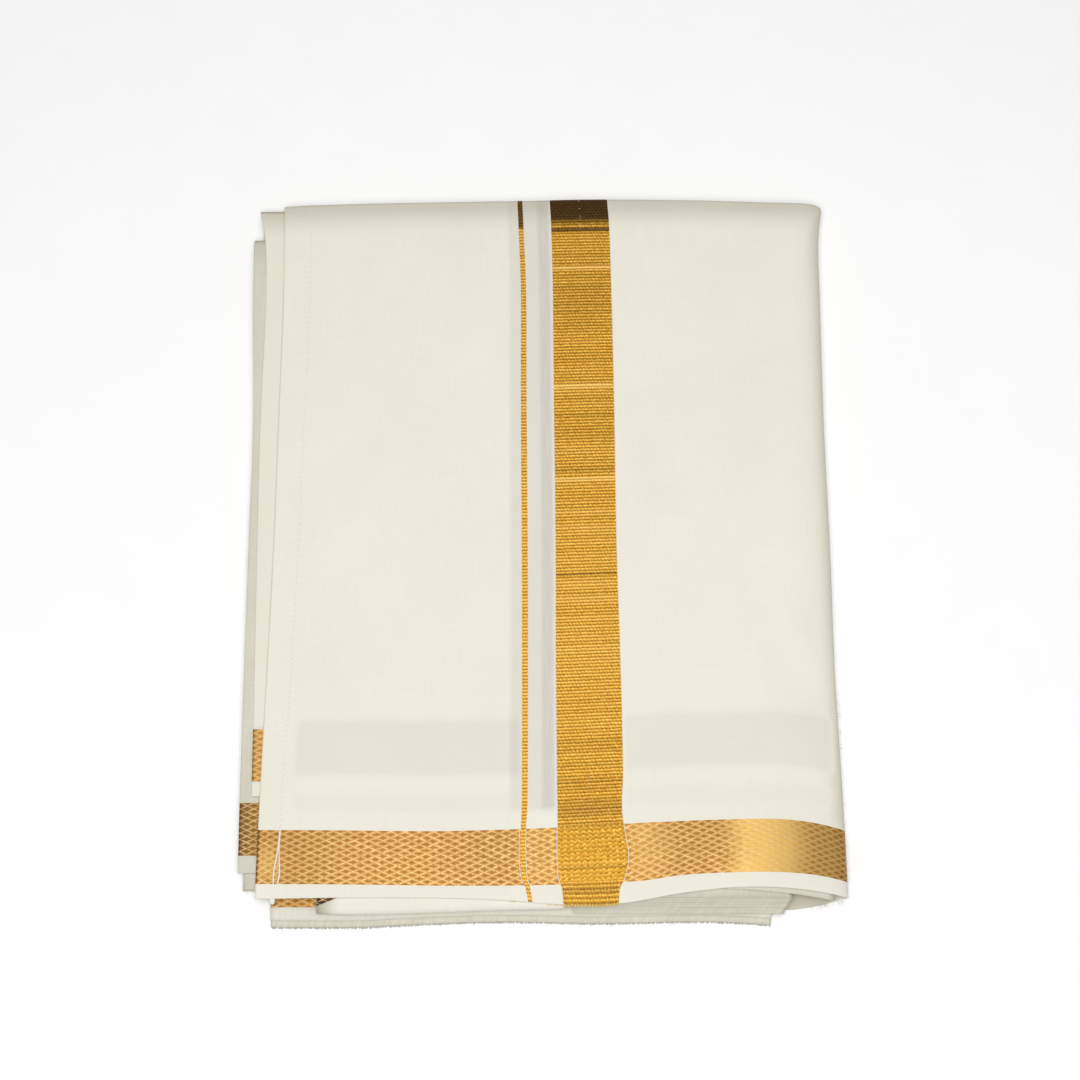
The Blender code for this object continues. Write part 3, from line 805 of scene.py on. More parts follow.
def gold_ribs(name, rib, bead, slant, zigzag, deep, broken):
    """Gold thread, metal film wound on a core, packed into ribs: a broken painted shine, with a painted glint
    on each bead of a rib and deep brown between ribs, partly painted shade in the hollows. The beads of each
    rib are set off from the last by the slant, and a zigzag bends the ribs into chevrons. Deep says how dark
    it gets between them, and broken how far it breaks up into flecks. Shade 0 is gold turned away over a
    fold, a painted shade, 0.5 is plain, and 1 lies open to the light, a painted sheen."""
    made, tree = new_material(name)
    cloth = add(tree, "Attribute", {"attribute_name": "cloth"}, {}, "Vector")
    u, v, shade = (add(tree, "SeparateXYZ", {}, {0: cloth}, axis) for axis in "XYZ")
    rib, bead = rib / MM / 2, bead / MM / 2
    bent = add(tree, "Math", PINGPONG, {0: u, 1: bead})
    bent = add(tree, "Math", MULTIPLY_ADD, {0: bent, 1: zigzag, 2: v})
    aside = add(tree, "Math", MULTIPLY_ADD, {0: v, 1: slant, 2: u})
    valley = add(tree, "Math", PINGPONG, {0: bent, 1: rib})
    gap = add(tree, "Math", PINGPONG, {0: aside, 1: bead})
    place = add(tree, "TexCoord", {}, {}, "Object")
    flecks = add(tree, "TexNoise", {}, {"Vector": place, "Scale": 1100.0, "Detail": 2.0})
    low = add(tree, "Math", MULTIPLY_ADD, {0: valley, 1: -deep / rib, 2: 0.46 + 0.7 * deep})
    low = add(tree, "Math", MULTIPLY_ADD, {0: gap, 1: -0.4 * deep / bead, 2: low})
    inputs = {0: flecks, 1: broken, 2: 0.1 - broken / 2}
    spread = add(tree, "Math", MULTIPLY_ADD, inputs)
    light = add(tree, "Math", CLAMPED_ADD, {0: low, 1: spread})
    inputs = {FACTOR: light, FIRST: tone("gold_deep_and_shade"), SECOND_COLOUR: tone("gold")}
    plain = add(tree, "Mix", RGBA, inputs, MIXED)
    glint = add(tree, "MapRange", {}, {0: light, "From Min": 0.72, "From Max": 1.0, "To Max": 0.7})
    inputs = {FACTOR: glint, FIRST: plain, SECOND_COLOUR: tone("gold_glint")}
    plain = add(tree, "Mix", RGBA, inputs, MIXED)
    colour = open_or_turned(tree, shade, plain, 0.7)
    rough = add(tree, "Math", MULTIPLY_ADD, {0: flecks, 1: 0.3, 2: 0.34})
    surface_of(colour, rough, light, 0.1, tree, ZARI_SHINE)
    return made


def open_or_turned(tree, shade, plain, strength):
    """Carries a gold colour towards the bright one, a painted sheen, or the dark one, a painted shade, by the
    shade of the cloth.
    """
    up = {0: shade, "From Min": 0.5, "From Max": 1.0, "To Min": 0.0, "To Max": strength}
    down = {0: shade, "From Min": 0.0, "From Max": 0.5, "To Min": 1.0, "To Max": 0.0}
    bright = {FACTOR: add(tree, "MapRange", {}, up), FIRST: plain, SECOND_COLOUR: tone("gold_bright")}
    colour = add(tree, "Mix", RGBA, bright, MIXED)
    dark = {FACTOR: add(tree, "MapRange", {}, down), FIRST: colour, SECOND_COLOUR: tone("gold_turned")}
    return add(tree, "Mix", RGBA, dark, MIXED)


def gold_diamonds(name):
    """Gold thread woven over and under cotton in staggered diamonds, each brown gold in the middle and
    lighter at its rim, with thin pale lines between them. Shade is as for the ribs."""
    made, tree = new_material(name)
    cloth = add(tree, "Attribute", {"attribute_name": "cloth"}, {}, "Vector")
    u, v, shade = (add(tree, "SeparateXYZ", {}, {0: cloth}, axis) for axis in "XYZ")
    width, height = sizes().diamond_width / MM, sizes().diamond_height / MM
    place = add(tree, "TexCoord", {}, {}, "Object")
    flecks = add(tree, "TexNoise", {}, {"Vector": place, "Scale": 700.0, "Detail": 2.0})
    across = add(tree, "Math", PINGPONG, {0: u, 1: width / 2})
    along = add(tree, "Math", PINGPONG, {0: v, 1: height / 2})
    across = add(tree, "Math", MULTIPLY_ADD, {0: across, 1: 1 / width, 2: -0.5})
    total = add(tree, "Math", MULTIPLY_ADD, {0: along, 1: 1 / height, 2: across})
    away = add(tree, "Math", {"operation": "ABSOLUTE"}, {0: total})
    away = add(tree, "Math", MULTIPLY_ADD, {0: flecks, 1: 0.14, 2: away})
    inputs = {0: away, "From Min": 0.12, "From Max": 0.44}
    inside = add(tree, "MapRange", SMOOTHSTEP, inputs)
    inputs = {FACTOR: inside, FIRST: tone("gold_rim"), SECOND_COLOUR: tone("gold_brown")}
    diamond = open_or_turned(tree, shade, add(tree, "Mix", RGBA, inputs, MIXED), 1.0)
    inputs = {0: away, "From Min": 0.06, "From Max": 0.15}
    beyond = add(tree, "MapRange", SMOOTHSTEP, inputs)
    inputs = {FACTOR: beyond, FIRST: tone("gold_line"), SECOND_COLOUR: diamond}
    colour = add(tree, "Mix", RGBA, inputs, MIXED)
    rough = add(tree, "Math", MULTIPLY_ADD, {0: flecks, 1: 0.3, 2: 0.35})
    surface_of(colour, rough, away, 0.1, tree, ZARI_SHINE)
    return made


def grained(name, scale, first, second, rough, uneven, depth, shine):
    """A plain material between two colours, with one fine grain in its colour, roughness and bumps."""
    made, tree = new_material(name)
    place = add(tree, "TexCoord", {}, {}, "Object")
    grain = add(tree, "TexNoise", {}, {"Vector": place, "Scale": scale, "Detail": 2.0})
    colour = add(tree, "Mix", RGBA, {FACTOR: grain, FIRST: first, SECOND_COLOUR: second}, MIXED)
    roughness = add(tree, "Math", MULTIPLY_ADD, {0: grain, 1: uneven, 2: rough})
    surface_of(colour, roughness, grain, depth, tree, shine)
    return made


def spun_thread(name, dark, light):
    """Spun cotton sewing thread: matt, with the twist showing as light and dark."""
    ends = ((*linear(code), 1.0) for code in (dark, light))
    return grained(name, 1200.0, *ends, 0.65, 0.2, 0.05, COTTON_SHINE)


def studio_paper(name):
    """Matt seamless paper, plain and very pale, with a faint grain."""
    ends = ((*linear(code), 1.0) for code in ("FCFCFC", "FFFFFF"))
    return grained(name, 40.0, *ends, 0.9, 0.05, 0.01, {"Specular IOR Level": 0.1})


def gold_bits(name):
    """Cut ends of gold thread: film that has frayed into bright and brown flecks."""
    return grained(name, 900.0, tone("gold"), tone("gold_glint"), 0.35, 0.3, 0.08, ZARI_SHINE)


def round_the_fold():
    """The columns that take the top sheet round the right fold and back underneath."""
    columns = [Column("fold", a, 0.0) for a in range(8, 91, 8)]
    columns += [Column("return", a, 0.0) for a in range(84, -1, -7)]
    return columns + [Column("under", x, 0.0) for x in spaced(100.0, UNDER_LEFT, 4.0)]


class DHOTI_OT_top_sheet(bpy.types.Operator):
    """Adds the layer on top, with its turned hem, its back fold, and the way round and underneath"""

    bl_idname = "dhoti.top_sheet"
    bl_label = "Top sheet"

    def execute(self, context):
        columns = turned_columns(TOP, STITCH_U) + flat_columns(0, 6, TOP_COUNTS) + round_the_fold()
        rows = edge_first(spaced(0.0, V_BACK, sizes().grid / MM))
        rows = np.concatenate([rows, spaced(V_BACK, V_BACK + CURL_LENGTH, 0.6)[1:]])
        rows = np.append(rows, rows[-1] + TUCKED_UNDER)
        points, u = grid_points(TOP, columns, rows)
        v = all_along(rows, columns)
        shade = patched(u, v, THROUGH_AND_SHADE, 0.0)
        # The turned hem material paints shade on the hem's rounded edge, on the faces within 0.4 mm of it
        materials = [plain_weave("bleached_plain_weave"), plain_weave("turned_hem", "hem_edge_shade", "hem_edge_shade")]
        made = grid_object(
            "top_sheet", points, u, v, materials, shade, lambda u, v: abs(u) < 0.4, sizes().cloth / MM
        )
        settle(made, "top_layer", "end_hem")
        made["cut"] = cut_of(points)
        return {"FINISHED"}


# How many steps each stretch between the top sheet's main lines gets
TOP_COUNTS = (9, 50, 3, 7, 14, 48)

# Places on the cloth with a soft edge, and how far the cloth there is from its plain colour
Patch = namedtuple("Patch", "name u0 u1 v0 v1 soft amount")
# The top sheet's shade: borders below that show through it, above 0, and painted shade, below 0
THROUGH_AND_SHADE = (
    Patch("strip beside the line", 106.3, 109.6, 38.0, 340.0, 0.8, 0.36),
    Patch("strip beside the band", 120.2, 125.8, 38.0, 340.0, 0.9, 0.42),
    Patch("ground between them", 109.6, 126.6, 38.0, 340.0, 1.0, 0.36),
    Patch("border of the second sheet, left", 15.0, 110.0, 54.5, 79.0, 2.0, 0.27),
    Patch("border of the second sheet, right", 156.0, 250.0, 54.5, 79.0, 2.0, 0.24),
    Patch("its selvedge, left", 15.0, 106.0, 38.0, 46.0, 1.2, 0.13),
    Patch("its selvedge, right", 156.0, 250.0, 38.0, 46.0, 1.2, 0.10),
    # Painted shade: where the right fold rounds away, and inside the open fold
    Patch("right edge", 250.0, 275.0, 30.0, 400.0, 5.0, -0.42),
    Patch("inside the open fold", 264.0, 360.0, -9.0, 50.0, 4.0, -0.6),
)
# Gold that lies open to the light, above 0.5, or turns away from it, below 0.5
BORDER_SHINE = (
    Patch("hem", -1.0, 11.0, 9.0, 22.0, 5.0, 0.16),
    Patch("between line and band", 113.0, 129.0, 8.0, 34.0, 3.0, 0.06),
    Patch("left of the line", 84.0, 108.0, 2.0, 40.0, 12.0, -0.05),
    Patch("right of the band", 155.0, 172.0, 8.0, 40.0, 8.0, 0.12),
    Patch("bulge", 203.0, 232.0, -2.0, 40.0, 9.0, 0.46),
    Patch("before the fold", 238.0, 300.0, -2.0, 40.0, 8.0, 0.10),
    Patch("over the fold", 252.0, 310.0, -2.0, 40.0, 6.0, -0.22),
)
BAND_SHINE = (
    Patch("back end", 100.0, 170.0, 314.6, 328.6, 1.7, -0.5),
    Patch("dark row by the back end", 100.0, 170.0, 309.3, 311.5, 0.35, -0.42),
    Patch("dull row by the back end", 100.0, 170.0, 312.9, 314.6, 0.4, -0.2),
    Patch("bright row", 126.0, 156.0, 290.0, 292.0, 0.7, 0.35),
    Patch("second bright row", 126.0, 156.0, 232.0, 234.0, 0.7, 0.3),
    Patch("third bright row", 126.0, 156.0, 187.5, 189.5, 0.7, 0.35),
    Patch("dark row", 126.0, 156.0, 143.3, 144.6, 0.4, -0.30),
    Patch("dull stretch", 126.0, 156.0, 262.0, 286.0, 9.0, -0.05),
    Patch("bright stretch", 126.0, 156.0, 86.0, 170.0, 25.0, 0.08),
    Patch("front stretch", 126.0, 156.0, 31.0, 58.0, 12.0, -0.05),
    Patch("dull row", 126.0, 156.0, 49.0, 50.4, 0.5, -0.12),
    Patch("second dull row", 126.0, 156.0, 37.0, 38.4, 0.5, -0.12),
    Patch("crossing", 126.0, 156.0, 7.5, 30.5, 1.5, -0.02),
    Patch("front end", 126.0, 156.0, -2.0, 6.0, 1.5, -0.13),
)
LINE_SHINE = (
    Patch("the whole line", 100.0, 170.0, -9.0, 311.0, 1.0, 0.12),
    Patch("back end", 100.0, 170.0, 311.6, 328.6, 1.2, -0.43),
    Patch("front end", 100.0, 170.0, -2.0, 7.0, 1.5, -0.10),
)


# How far the beads of one rib are set off from the next, for each step along the cloth
SLANT = 0.45
# The chevrons where the borders cross: how steep they are, and their height against their width
ZIGZAG, KNOT_RISE = 0.7, 0.68
# Width of the band's columns, and how far the border lies above the cotton
BAND_COLUMN = 0.5
BORDER_LIFT = 0.05
# White specks along the band: the stretches that have them, how far apart, and the line they follow
SPECK_STRETCHES = ((34.0, 62.0), (306.0, 327.0))
SPECK_PITCH = 1.48
SPECK_LINE = 4.505
# Slanting lines in the gold that turns over the back fold
TWILL_ACROSS, TWILL_ALONG = 1.6, 2.8
# White threads beside the gold: the main line they follow, how far from it, and where they end
SideThread = namedtuple("SideThread", "line aside v0 v1")
SIDE_THREADS = (
    SideThread(4, -0.35, 0.5, 330.0),
    SideThread(5, 0.35, 0.5, 330.0),
    SideThread(2, -0.4, 7.0, 30.0),
    SideThread(3, 0.4, 7.0, 30.0),
)


def crossing(u, v):
    """Whether places on the gold band lie where the diamond border crosses it."""
    return (v > MARGIN + 0.8) & (v < BORDER_END + 0.3)


class DHOTI_OT_gold_borders(bpy.types.Operator):
    """Adds the gold band, the thin gold line and the diamond border that are woven into the top sheet"""

    bl_idname = "dhoti.gold_borders"
    bl_label = "Gold borders"

    def execute(self, context):
        rows = spaced(0.1, V_BACK + CURL_LENGTH, sizes().rib_pitch / MM / 4)
        columns = flat_columns(4, 5, (math.ceil((BAND_U[1] - BAND_U[0]) / BAND_COLUMN),))
        rib, bead, knot = sizes().rib_pitch, sizes().bead_pitch, sizes().knot_pitch
        ribs = gold_ribs("gold_ribs", rib, bead, SLANT, 0.0, 0.7, 1.6)
        knots = gold_ribs("gold_knots", KNOT_RISE * knot, knot, 0.0, ZIGZAG, 0.42, 1.9)
        band = self.woven("gold_band", columns, rows, [ribs, knots], BAND_SHINE, 4, crossing)
        columns = flat_columns(2, 3, (6,))
        line = self.woven("gold_line", columns, rows, [ribs], LINE_SHINE, 2)
        border = self.border()
        chance = random.Random(9)
        routes = [self.beside(thread, chance) for thread in SIDE_THREADS]
        sides = strands("side_threads", routes, 0.34, spun_thread("side_thread", "E2DED2", "F6F3EA"))
        specks = self.specks(chance)
        return {"FINISHED"}

    def border(self):
        """The diamond border along the selvedge, from round the hem's edge to the underside."""
        columns = hem_bend(BORDER_LIFT) + flat_columns(0, 6, TOP_COUNTS) + round_the_fold()
        rows = spaced(MARGIN, BORDER_END, 1.2)
        points, u = grid_points(TOP, columns, rows, BORDER_LIFT)
        v = all_along(rows, columns)
        # Painted shade: the border darkens round the hem's rounded edge, where U is below 0.5 mm
        shade = patched(u, v, BORDER_SHINE, 0.5) - 0.4 * (1 - eased(u, -0.5, 0.5))
        material = gold_diamonds("gold_diamonds")
        return settle(grid_object("selvedge_border", points, u, v, [material], shade))

    def specks(self, chance):
        """White specks where the weft of the cotton shows through the band."""
        rows = np.concatenate([spaced(start, end, SPECK_PITCH) for start, end in SPECK_STRETCHES])
        points, _ = grid_points(TOP, [Column("flat", SPECK_LINE, 0.0)], rows, 0.2)
        places = [(x + chance.uniform(-0.15, 0.15), y, z, 0.0) for x, y, z in points[:, 0]]
        places = [place for place in places if chance.random() < 0.6]
        thread = spun_thread("speck_thread", "E8DCC0", "F6EFDE")
        return copies("band_specks", (0.16, 0.2, 0.12), places, thread)

    def beside(self, thread, chance):
        """The route of a white thread beside the gold."""
        across = TOP.lines_u[thread.line] - TOP.lines_u[thread.line - 1]
        at = thread.line + thread.aside / (across if thread.aside < 0 else 95.0)
        rows = spaced(thread.v0, thread.v1, 2.4)
        points, _ = grid_points(TOP, [Column("flat", at, 0.0)], rows, 0.06)
        return [(x + chance.uniform(-0.08, 0.08), y, z) for x, y, z in points[:, 0]]

    def woven(self, name, columns, rows, materials, patches, first, slot_of=None):
        """A woven strip along the top sheet, ribbed across, with knots where it crosses the border."""
        flat, u = grid_points(TOP, columns, rows)
        u = u - u[:, :1] + TOP.lines_u[first]
        v = all_along(rows, columns)
        rib, knot, height = sizes().rib_pitch / MM, sizes().knot_pitch / MM, sizes().rib_height / MM
        ribs = 0.5 + 0.5 * np.cos(2 * math.pi * v / rib)
        bent = v + ZIGZAG * abs((u / knot + 0.5) % 1.0 - 0.5) * knot
        knots = 0.5 + 0.5 * np.cos(2 * math.pi * bent / (KNOT_RISE * knot))
        turned = 1 - eased(patched(u, v, patches, 0.5), 0.1, 0.3)
        inside = slot_of(u, v) if slot_of else False
        lift = 0.07 + height * np.where(inside, 0.4 * knots, ribs * (1 - 0.8 * turned))
        points = np.stack(
            [grid_points(TOP, [column], rows, lift[:, i])[0][:, 0] for i, column in enumerate(columns)],
            axis=1,
        )
        chance = np.random.default_rng(11)
        row_of = np.floor(v[:, 0] / rib + 0.5).astype(int)
        uneven = chance.normal(0.0, 0.05, row_of.max() + 1)[row_of][:, None]
        twill = 0.04 + 0.04 * np.cos(2 * math.pi * (u / TWILL_ACROSS + v / TWILL_ALONG))
        # Painted sheen and painted shade from the shine patches, with rows that differ at random, and a twill
        # where the gold turns over the back fold
        shade = patched(u, v, patches, 0.5) + uneven * (1 - turned) + twill * turned
        shade = np.clip(shade, 0.0, 1.0)
        return settle(grid_object(name, points, u, v, materials, shade, slot_of))


class DHOTI_OT_under_sheets(bpy.types.Operator):
    """Adds the two layers whose hems and borders show beside the top sheet's left edge"""

    bl_idname = "dhoti.under_sheets"
    bl_label = "Under sheets"

    def execute(self, context):
        # The second sheet is all in the thin cotton colour, a little darker than the top sheet; the third
        # sheet is in the painted shade colours
        second = plain_weave("second_plain_weave", "thin_cotton", "thin_cotton", second_length())
        third = plain_weave("third_plain_weave", "fold_shade_cotton", "deep_shade_cotton", third_length())
        self.sheet("second_sheet", SECOND, "second_layer", second_length(), 45, SECOND_MARGIN, second, 0.66)
        self.sheet("third_sheet", THIRD, "third_layer", third_length(), 0, THIRD_MARGIN, third, 0.31)
        return {"FINISHED"}

    def sheet(self, name, layer, node, length, fold_angle, margin, cotton, shine):
        columns = turned_columns(layer, 4.0)
        share = HEM_STRETCH / (layer.lines_u[1] - layer.lines_u[0])
        columns += [Column("flat", at, 0.0) for at in np.linspace(0.0, share, 16)[:-1]]
        columns += [Column("flat", at, 0.0) for at in np.linspace(share, 1.0, 24)]
        columns += [Column("fold", float(a), 0.0) for a in range(9, fold_angle + 1, 9)]
        last = margin + BORDER_END - MARGIN
        rows = edge_first(spaced(0.0, length, sizes().grid / MM))
        rows = np.unique(np.concatenate([rows, [margin, last]]))
        points, u = grid_points(layer, columns, rows)
        v = all_along(rows, columns)
        inside = (v > margin - 0.1) & (v < last + 0.1)
        # Painted sheen and shade: the second sheet's border a little brighter than plain, the third's darker,
        # and both darker over their first 5 mm from the hem's edge
        shade = np.where(inside, shine - 0.14 * (1 - eased(u, 0.0, 5.0)), 0.0)
        materials = [cotton, gold_diamonds(name + "_gold_diamonds")]

        def woven(u, v):
            return (v > margin) & (v < last)

        made = grid_object(name, points, u, v, materials, shade, woven, sizes().cloth / MM)
        settle(made, node)


class DHOTI_OT_front_folds(bpy.types.Operator):
    """Adds the rounded centre fold in front, and the part of it that shows inside the right fold"""

    bl_idname = "dhoti.front_folds"
    bl_label = "Front folds"

    def execute(self, context):
        columns = spaced(ROLL_LEFT, ROLL_RIGHT, 2.5)
        for number, name in enumerate(("centre_fold", "centre_fold_inside", "centre_fold_core")):
            fold = self.rolled(name, columns[number:], 1.0 * number)
            settle(fold, *([] if number else ["front_fold"]))
            borders = [] if number else [self.border()]
        into_fold = [Column("fold", angle, 0.0) for angle in spaced(0.0, INNER_ANGLE, 8.0)[1:]]
        columns = flat_columns(0, 1, (44,)) + into_fold
        rows = edge_first(spaced(0.0, 34.0, 1.6))
        points, u = grid_points(INNER, columns, rows)
        v = all_along(rows, columns)
        # Painted shade: the inner sheet is in the fold shade colour, and dulls further towards the turning
        # shade colour as it reaches into the right fold
        material = plain_weave("inner_plain_weave", "fold_shade_cotton")
        shade = -0.15 - 0.2 * eased(u, 10.0, 90.0)
        inner = grid_object("inner_sheet", points, u, v, [material], shade, wall=sizes().cloth / MM)
        settle(inner, "inner_fold")
        return {"FINISHED"}

    def border(self):
        """The bit of border that shows where the centre fold's open end turns away."""
        x, share = np.meshgrid(spaced(BIT_LEFT, BIT_RIGHT, 1.0), np.linspace(0.0, 1.0, 6))
        near = BIT_FRONT + (BIT_BACK - BIT_FRONT) * (x - BIT_LEFT) / (BIT_RIGHT - BIT_LEFT)
        y = near + share * (BIT_BACK + 1.2 - near)
        points = np.stack([x, y, surface(x, y) - STEP + 0.12], axis=-1)
        # Painted shade: the bit of border is almost all turned gold, a painted dark shade where the fold
        # turns away
        shade = 0.1 * eased(x, -97.0, BIT_RIGHT)
        material = gold_diamonds("fold_gold_diamonds")
        return settle(grid_object("fold_border", points, x + 98.0, y + 165.0, [material], shade))

    def rolled(self, name, columns, inwards):
        """One layer of the centre fold, some way inside the outer one."""
        sides = []
        for x in columns:
            top = float(surface(x, solid_row(x, 0.0))) - STEP - inwards
            front = float(read(ROLLS, "y", x)) + inwards
            radius = float(read(ROLLS, "drop", x)) / 2 - inwards
            side = [(x, ROLL_BACK, top - 2 * radius + 0.5 * ROLL_LIP)]
            for angle in np.linspace(0.0, math.pi, 19):
                y = front + radius - radius * math.sin(angle)
                side.append((x, y, top - radius - radius * math.cos(angle)))
            for y in spaced(front + radius + 1.0, ROLL_REACH, 4.0):
                side.append((x, y, float(surface(x, y)) - STEP - inwards))
            sides.append(side[:ROLL_POINTS])
        points = np.array(sides).transpose(1, 0, 2)
        # Painted shade: the centre fold dulls towards its open left end, over its last 10 mm
        shade = -eased(-points[:, :, 0], 88.0, 98.0)
        v = np.zeros(points.shape[:2])
        v[1:] = np.cumsum(np.linalg.norm(np.diff(points, axis=0), axis=2), axis=0)
        material = plain_weave(name + "_plain_weave")
        u = points[:, :, 0] + 125.0
        made = grid_object(name, points, u, v, [material], shade, wall=sizes().cloth / MM)
        made["cut"] = cut_of(points)
        return made


def ring_places(x_places, y_places):
    """Shares of the way across and along for the points round an outline, from the front left."""
    across, along = np.linspace(0, 1, x_places), np.linspace(0, 1, y_places)
    share_x = np.concatenate([across[:-1], np.ones(y_places - 1), across[:0:-1], np.zeros(y_places - 1)])
    share_y = np.concatenate([np.zeros(x_places - 1), along[:-1], np.ones(x_places - 1), along[:0:-1]])
    return share_x, share_y


def stack_ring(fold, inset, wander, up):
    """The outline of one hidden fold at its share of the height, moved in by inset, and a little out of
    true, less so in front. Its front right corner ends sooner the lower it lies."""
    share_x, share_y = ring_places(*RING_PLACES)
    firm = PRESSED_FRONT + (1 - PRESSED_FRONT) * eased(share_y, 0.0, 0.03)
    inset, wander = inset * firm, wander * firm
    slant = CORNER_SLANT * (up - SLANT_FROM) * (1 - eased(share_y, 0.0, 0.03))
    y = FRONT_MIDDLE + share_y * V_BACK
    for _ in range(2):
        right = read(SECTIONS, "right", y) - read(SECTIONS, "filled", y) + fold.right - inset + slant
        left = CORE_LEFT - fold.left + inset
        x = left + share_x * (right - left)
        out = eased(x, STEP_OUT_FROM, STEP_OUT_TO)
        front = fold.front_left + out * (fold.front_right - fold.front_left) + inset
        front = front + CORE_CORNER * (1 - eased(x, CORNER_FROM, CORNER_TO))
        back = read(BACK, "y", x) - BACK_INSET + fold.back - inset
        y = front + share_y * (back - front)
    middle_x, middle_y = x.mean(), y.mean()
    away = np.hypot(x - middle_x, y - middle_y)
    return x + wander * (x - middle_x) / away, y + wander * (y - middle_y) / away, share_y


def stack_top(x, y, share_y):
    """The height of the hidden folds below the layers that lie on them."""
    at_left = 1 - eased(x, THIRD_INNER - 1.0, THIRD_INNER + 3.0)
    at_back = eased(share_y, UNDER_BACK_CURL - 0.01, UNDER_BACK_CURL + 0.01)
    return surface(x, y) - second_depth(x, y) - STEP * (1 + np.maximum(at_left, at_back)) - 0.3


def closed_rings(name, rings, material):
    """A closed solid through rings of points, with its two ends capped."""
    count = len(rings[0])
    points = (np.concatenate(rings) - (0.0, MIDDLE_Y, 0.0)) * MM
    index = np.arange(len(points)).reshape(len(rings), count)
    after = np.roll(index, -1, axis=1)
    quads = np.stack([index[:-1], index[1:], after[1:], after[:-1]], axis=-1).reshape(-1, 4)
    mesh = bpy.data.meshes.new(name)
    mesh.from_pydata(points.tolist(), [], quads.tolist() + [index[0].tolist(), index[-1][::-1].tolist()])
    mesh.materials.append(material)
    made = linked(name, mesh)
    shape = bmesh.new()
    shape.from_mesh(mesh)
    bmesh.ops.recalc_face_normals(shape, faces=shape.faces)
    shape.to_mesh(mesh)
    shape.free()
    made.data.shade_smooth()
    return made


class DHOTI_OT_folded_stack(bpy.types.Operator):
    """Adds the hidden folds as one closed solid, with each leaf rounded at its edges"""

    bl_idname = "dhoti.folded_stack"
    bl_label = "Folded stack"

    def execute(self, context):
        chance = random.Random(7)
        rings = []
        share_x, _ = ring_places(*RING_PLACES)
        turn = np.arange(len(share_x)) * 2 * math.pi / len(share_x)
        for number, fold in reversed(list(enumerate(FOLDS))):
            for leaf in reversed(range(LEAVES_IN_FOLD)):
                waves = [WAVE * np.sin(turn * k + chance.uniform(0.0, 6.28)) for k in WAVES]
                wander = sum(waves) - chance.uniform(0.0, 0.7)
                for bend in LEAF_BENDS:
                    share = (leaf + bend.up) / LEAVES_IN_FOLD
                    up = (number + share) / len(FOLDS)
                    above = FOLDS[min(number + 1, len(FOLDS) - 1)]
                    back = max(above.front_right - fold.front_right, 0.0) * LEANING * share
                    leaning = fold._replace(front_right=fold.front_right + back)
                    x, y, share_y = stack_ring(leaning, bend.inset, wander, up)
                    z = STEP + (stack_top(x, y, share_y) - STEP) * up
                    rings.append(np.stack([x, y, z], axis=-1))
        x, y, _ = stack_ring(FOLDS[-1], 1.2, 0.0, 1.0)
        caps = []
        for share in CAP_SHARES:
            shares = np.clip((y * share - FRONT_MIDDLE) / V_BACK, 0, 1)
            caps.append(np.stack([x * share, y * share, stack_top(x * share, y * share, shares)], axis=-1))
        # Painted shade: the stack's edges are in the fold shade and deep shade colours
        made = closed_rings("folded_stack", caps + rings, leaf_edges("folded_leaf_edges"))
        settle(made, "hidden_folds")
        return {"FINISHED"}


# Lower leaf: how far back from its front edge, and the height, of each place of a section
Corner = namedtuple("Corner", "back height")
UPPER_HALF = (
    Corner(5.0, 4.75),
    Corner(4.0, 4.6),
    Corner(3.3, 4.1),
    Corner(2.9, 3.5),
    Corner(2.6, 3.1),
    Corner(2.8, 2.6),
    Corner(3.4, 2.35),
)
LOWER_HALF = (
    Corner(3.0, 2.3),
    Corner(1.6, 2.15),
    Corner(0.6, 1.9),
    Corner(0.15, 1.4),
    Corner(0.0, 0.9),
    Corner(0.3, 0.35),
    Corner(0.9, 0.0),
    Corner(4.4, 0.0),
    Corner(5.6, 1.35),
)
# The part of the lower leaf's border that shows beside the centre fold
LEAF_BORDER_RIGHT = -96.0
LEAF_BORDER_FRONT = -161.9
TEETH_PITCH = 0.95


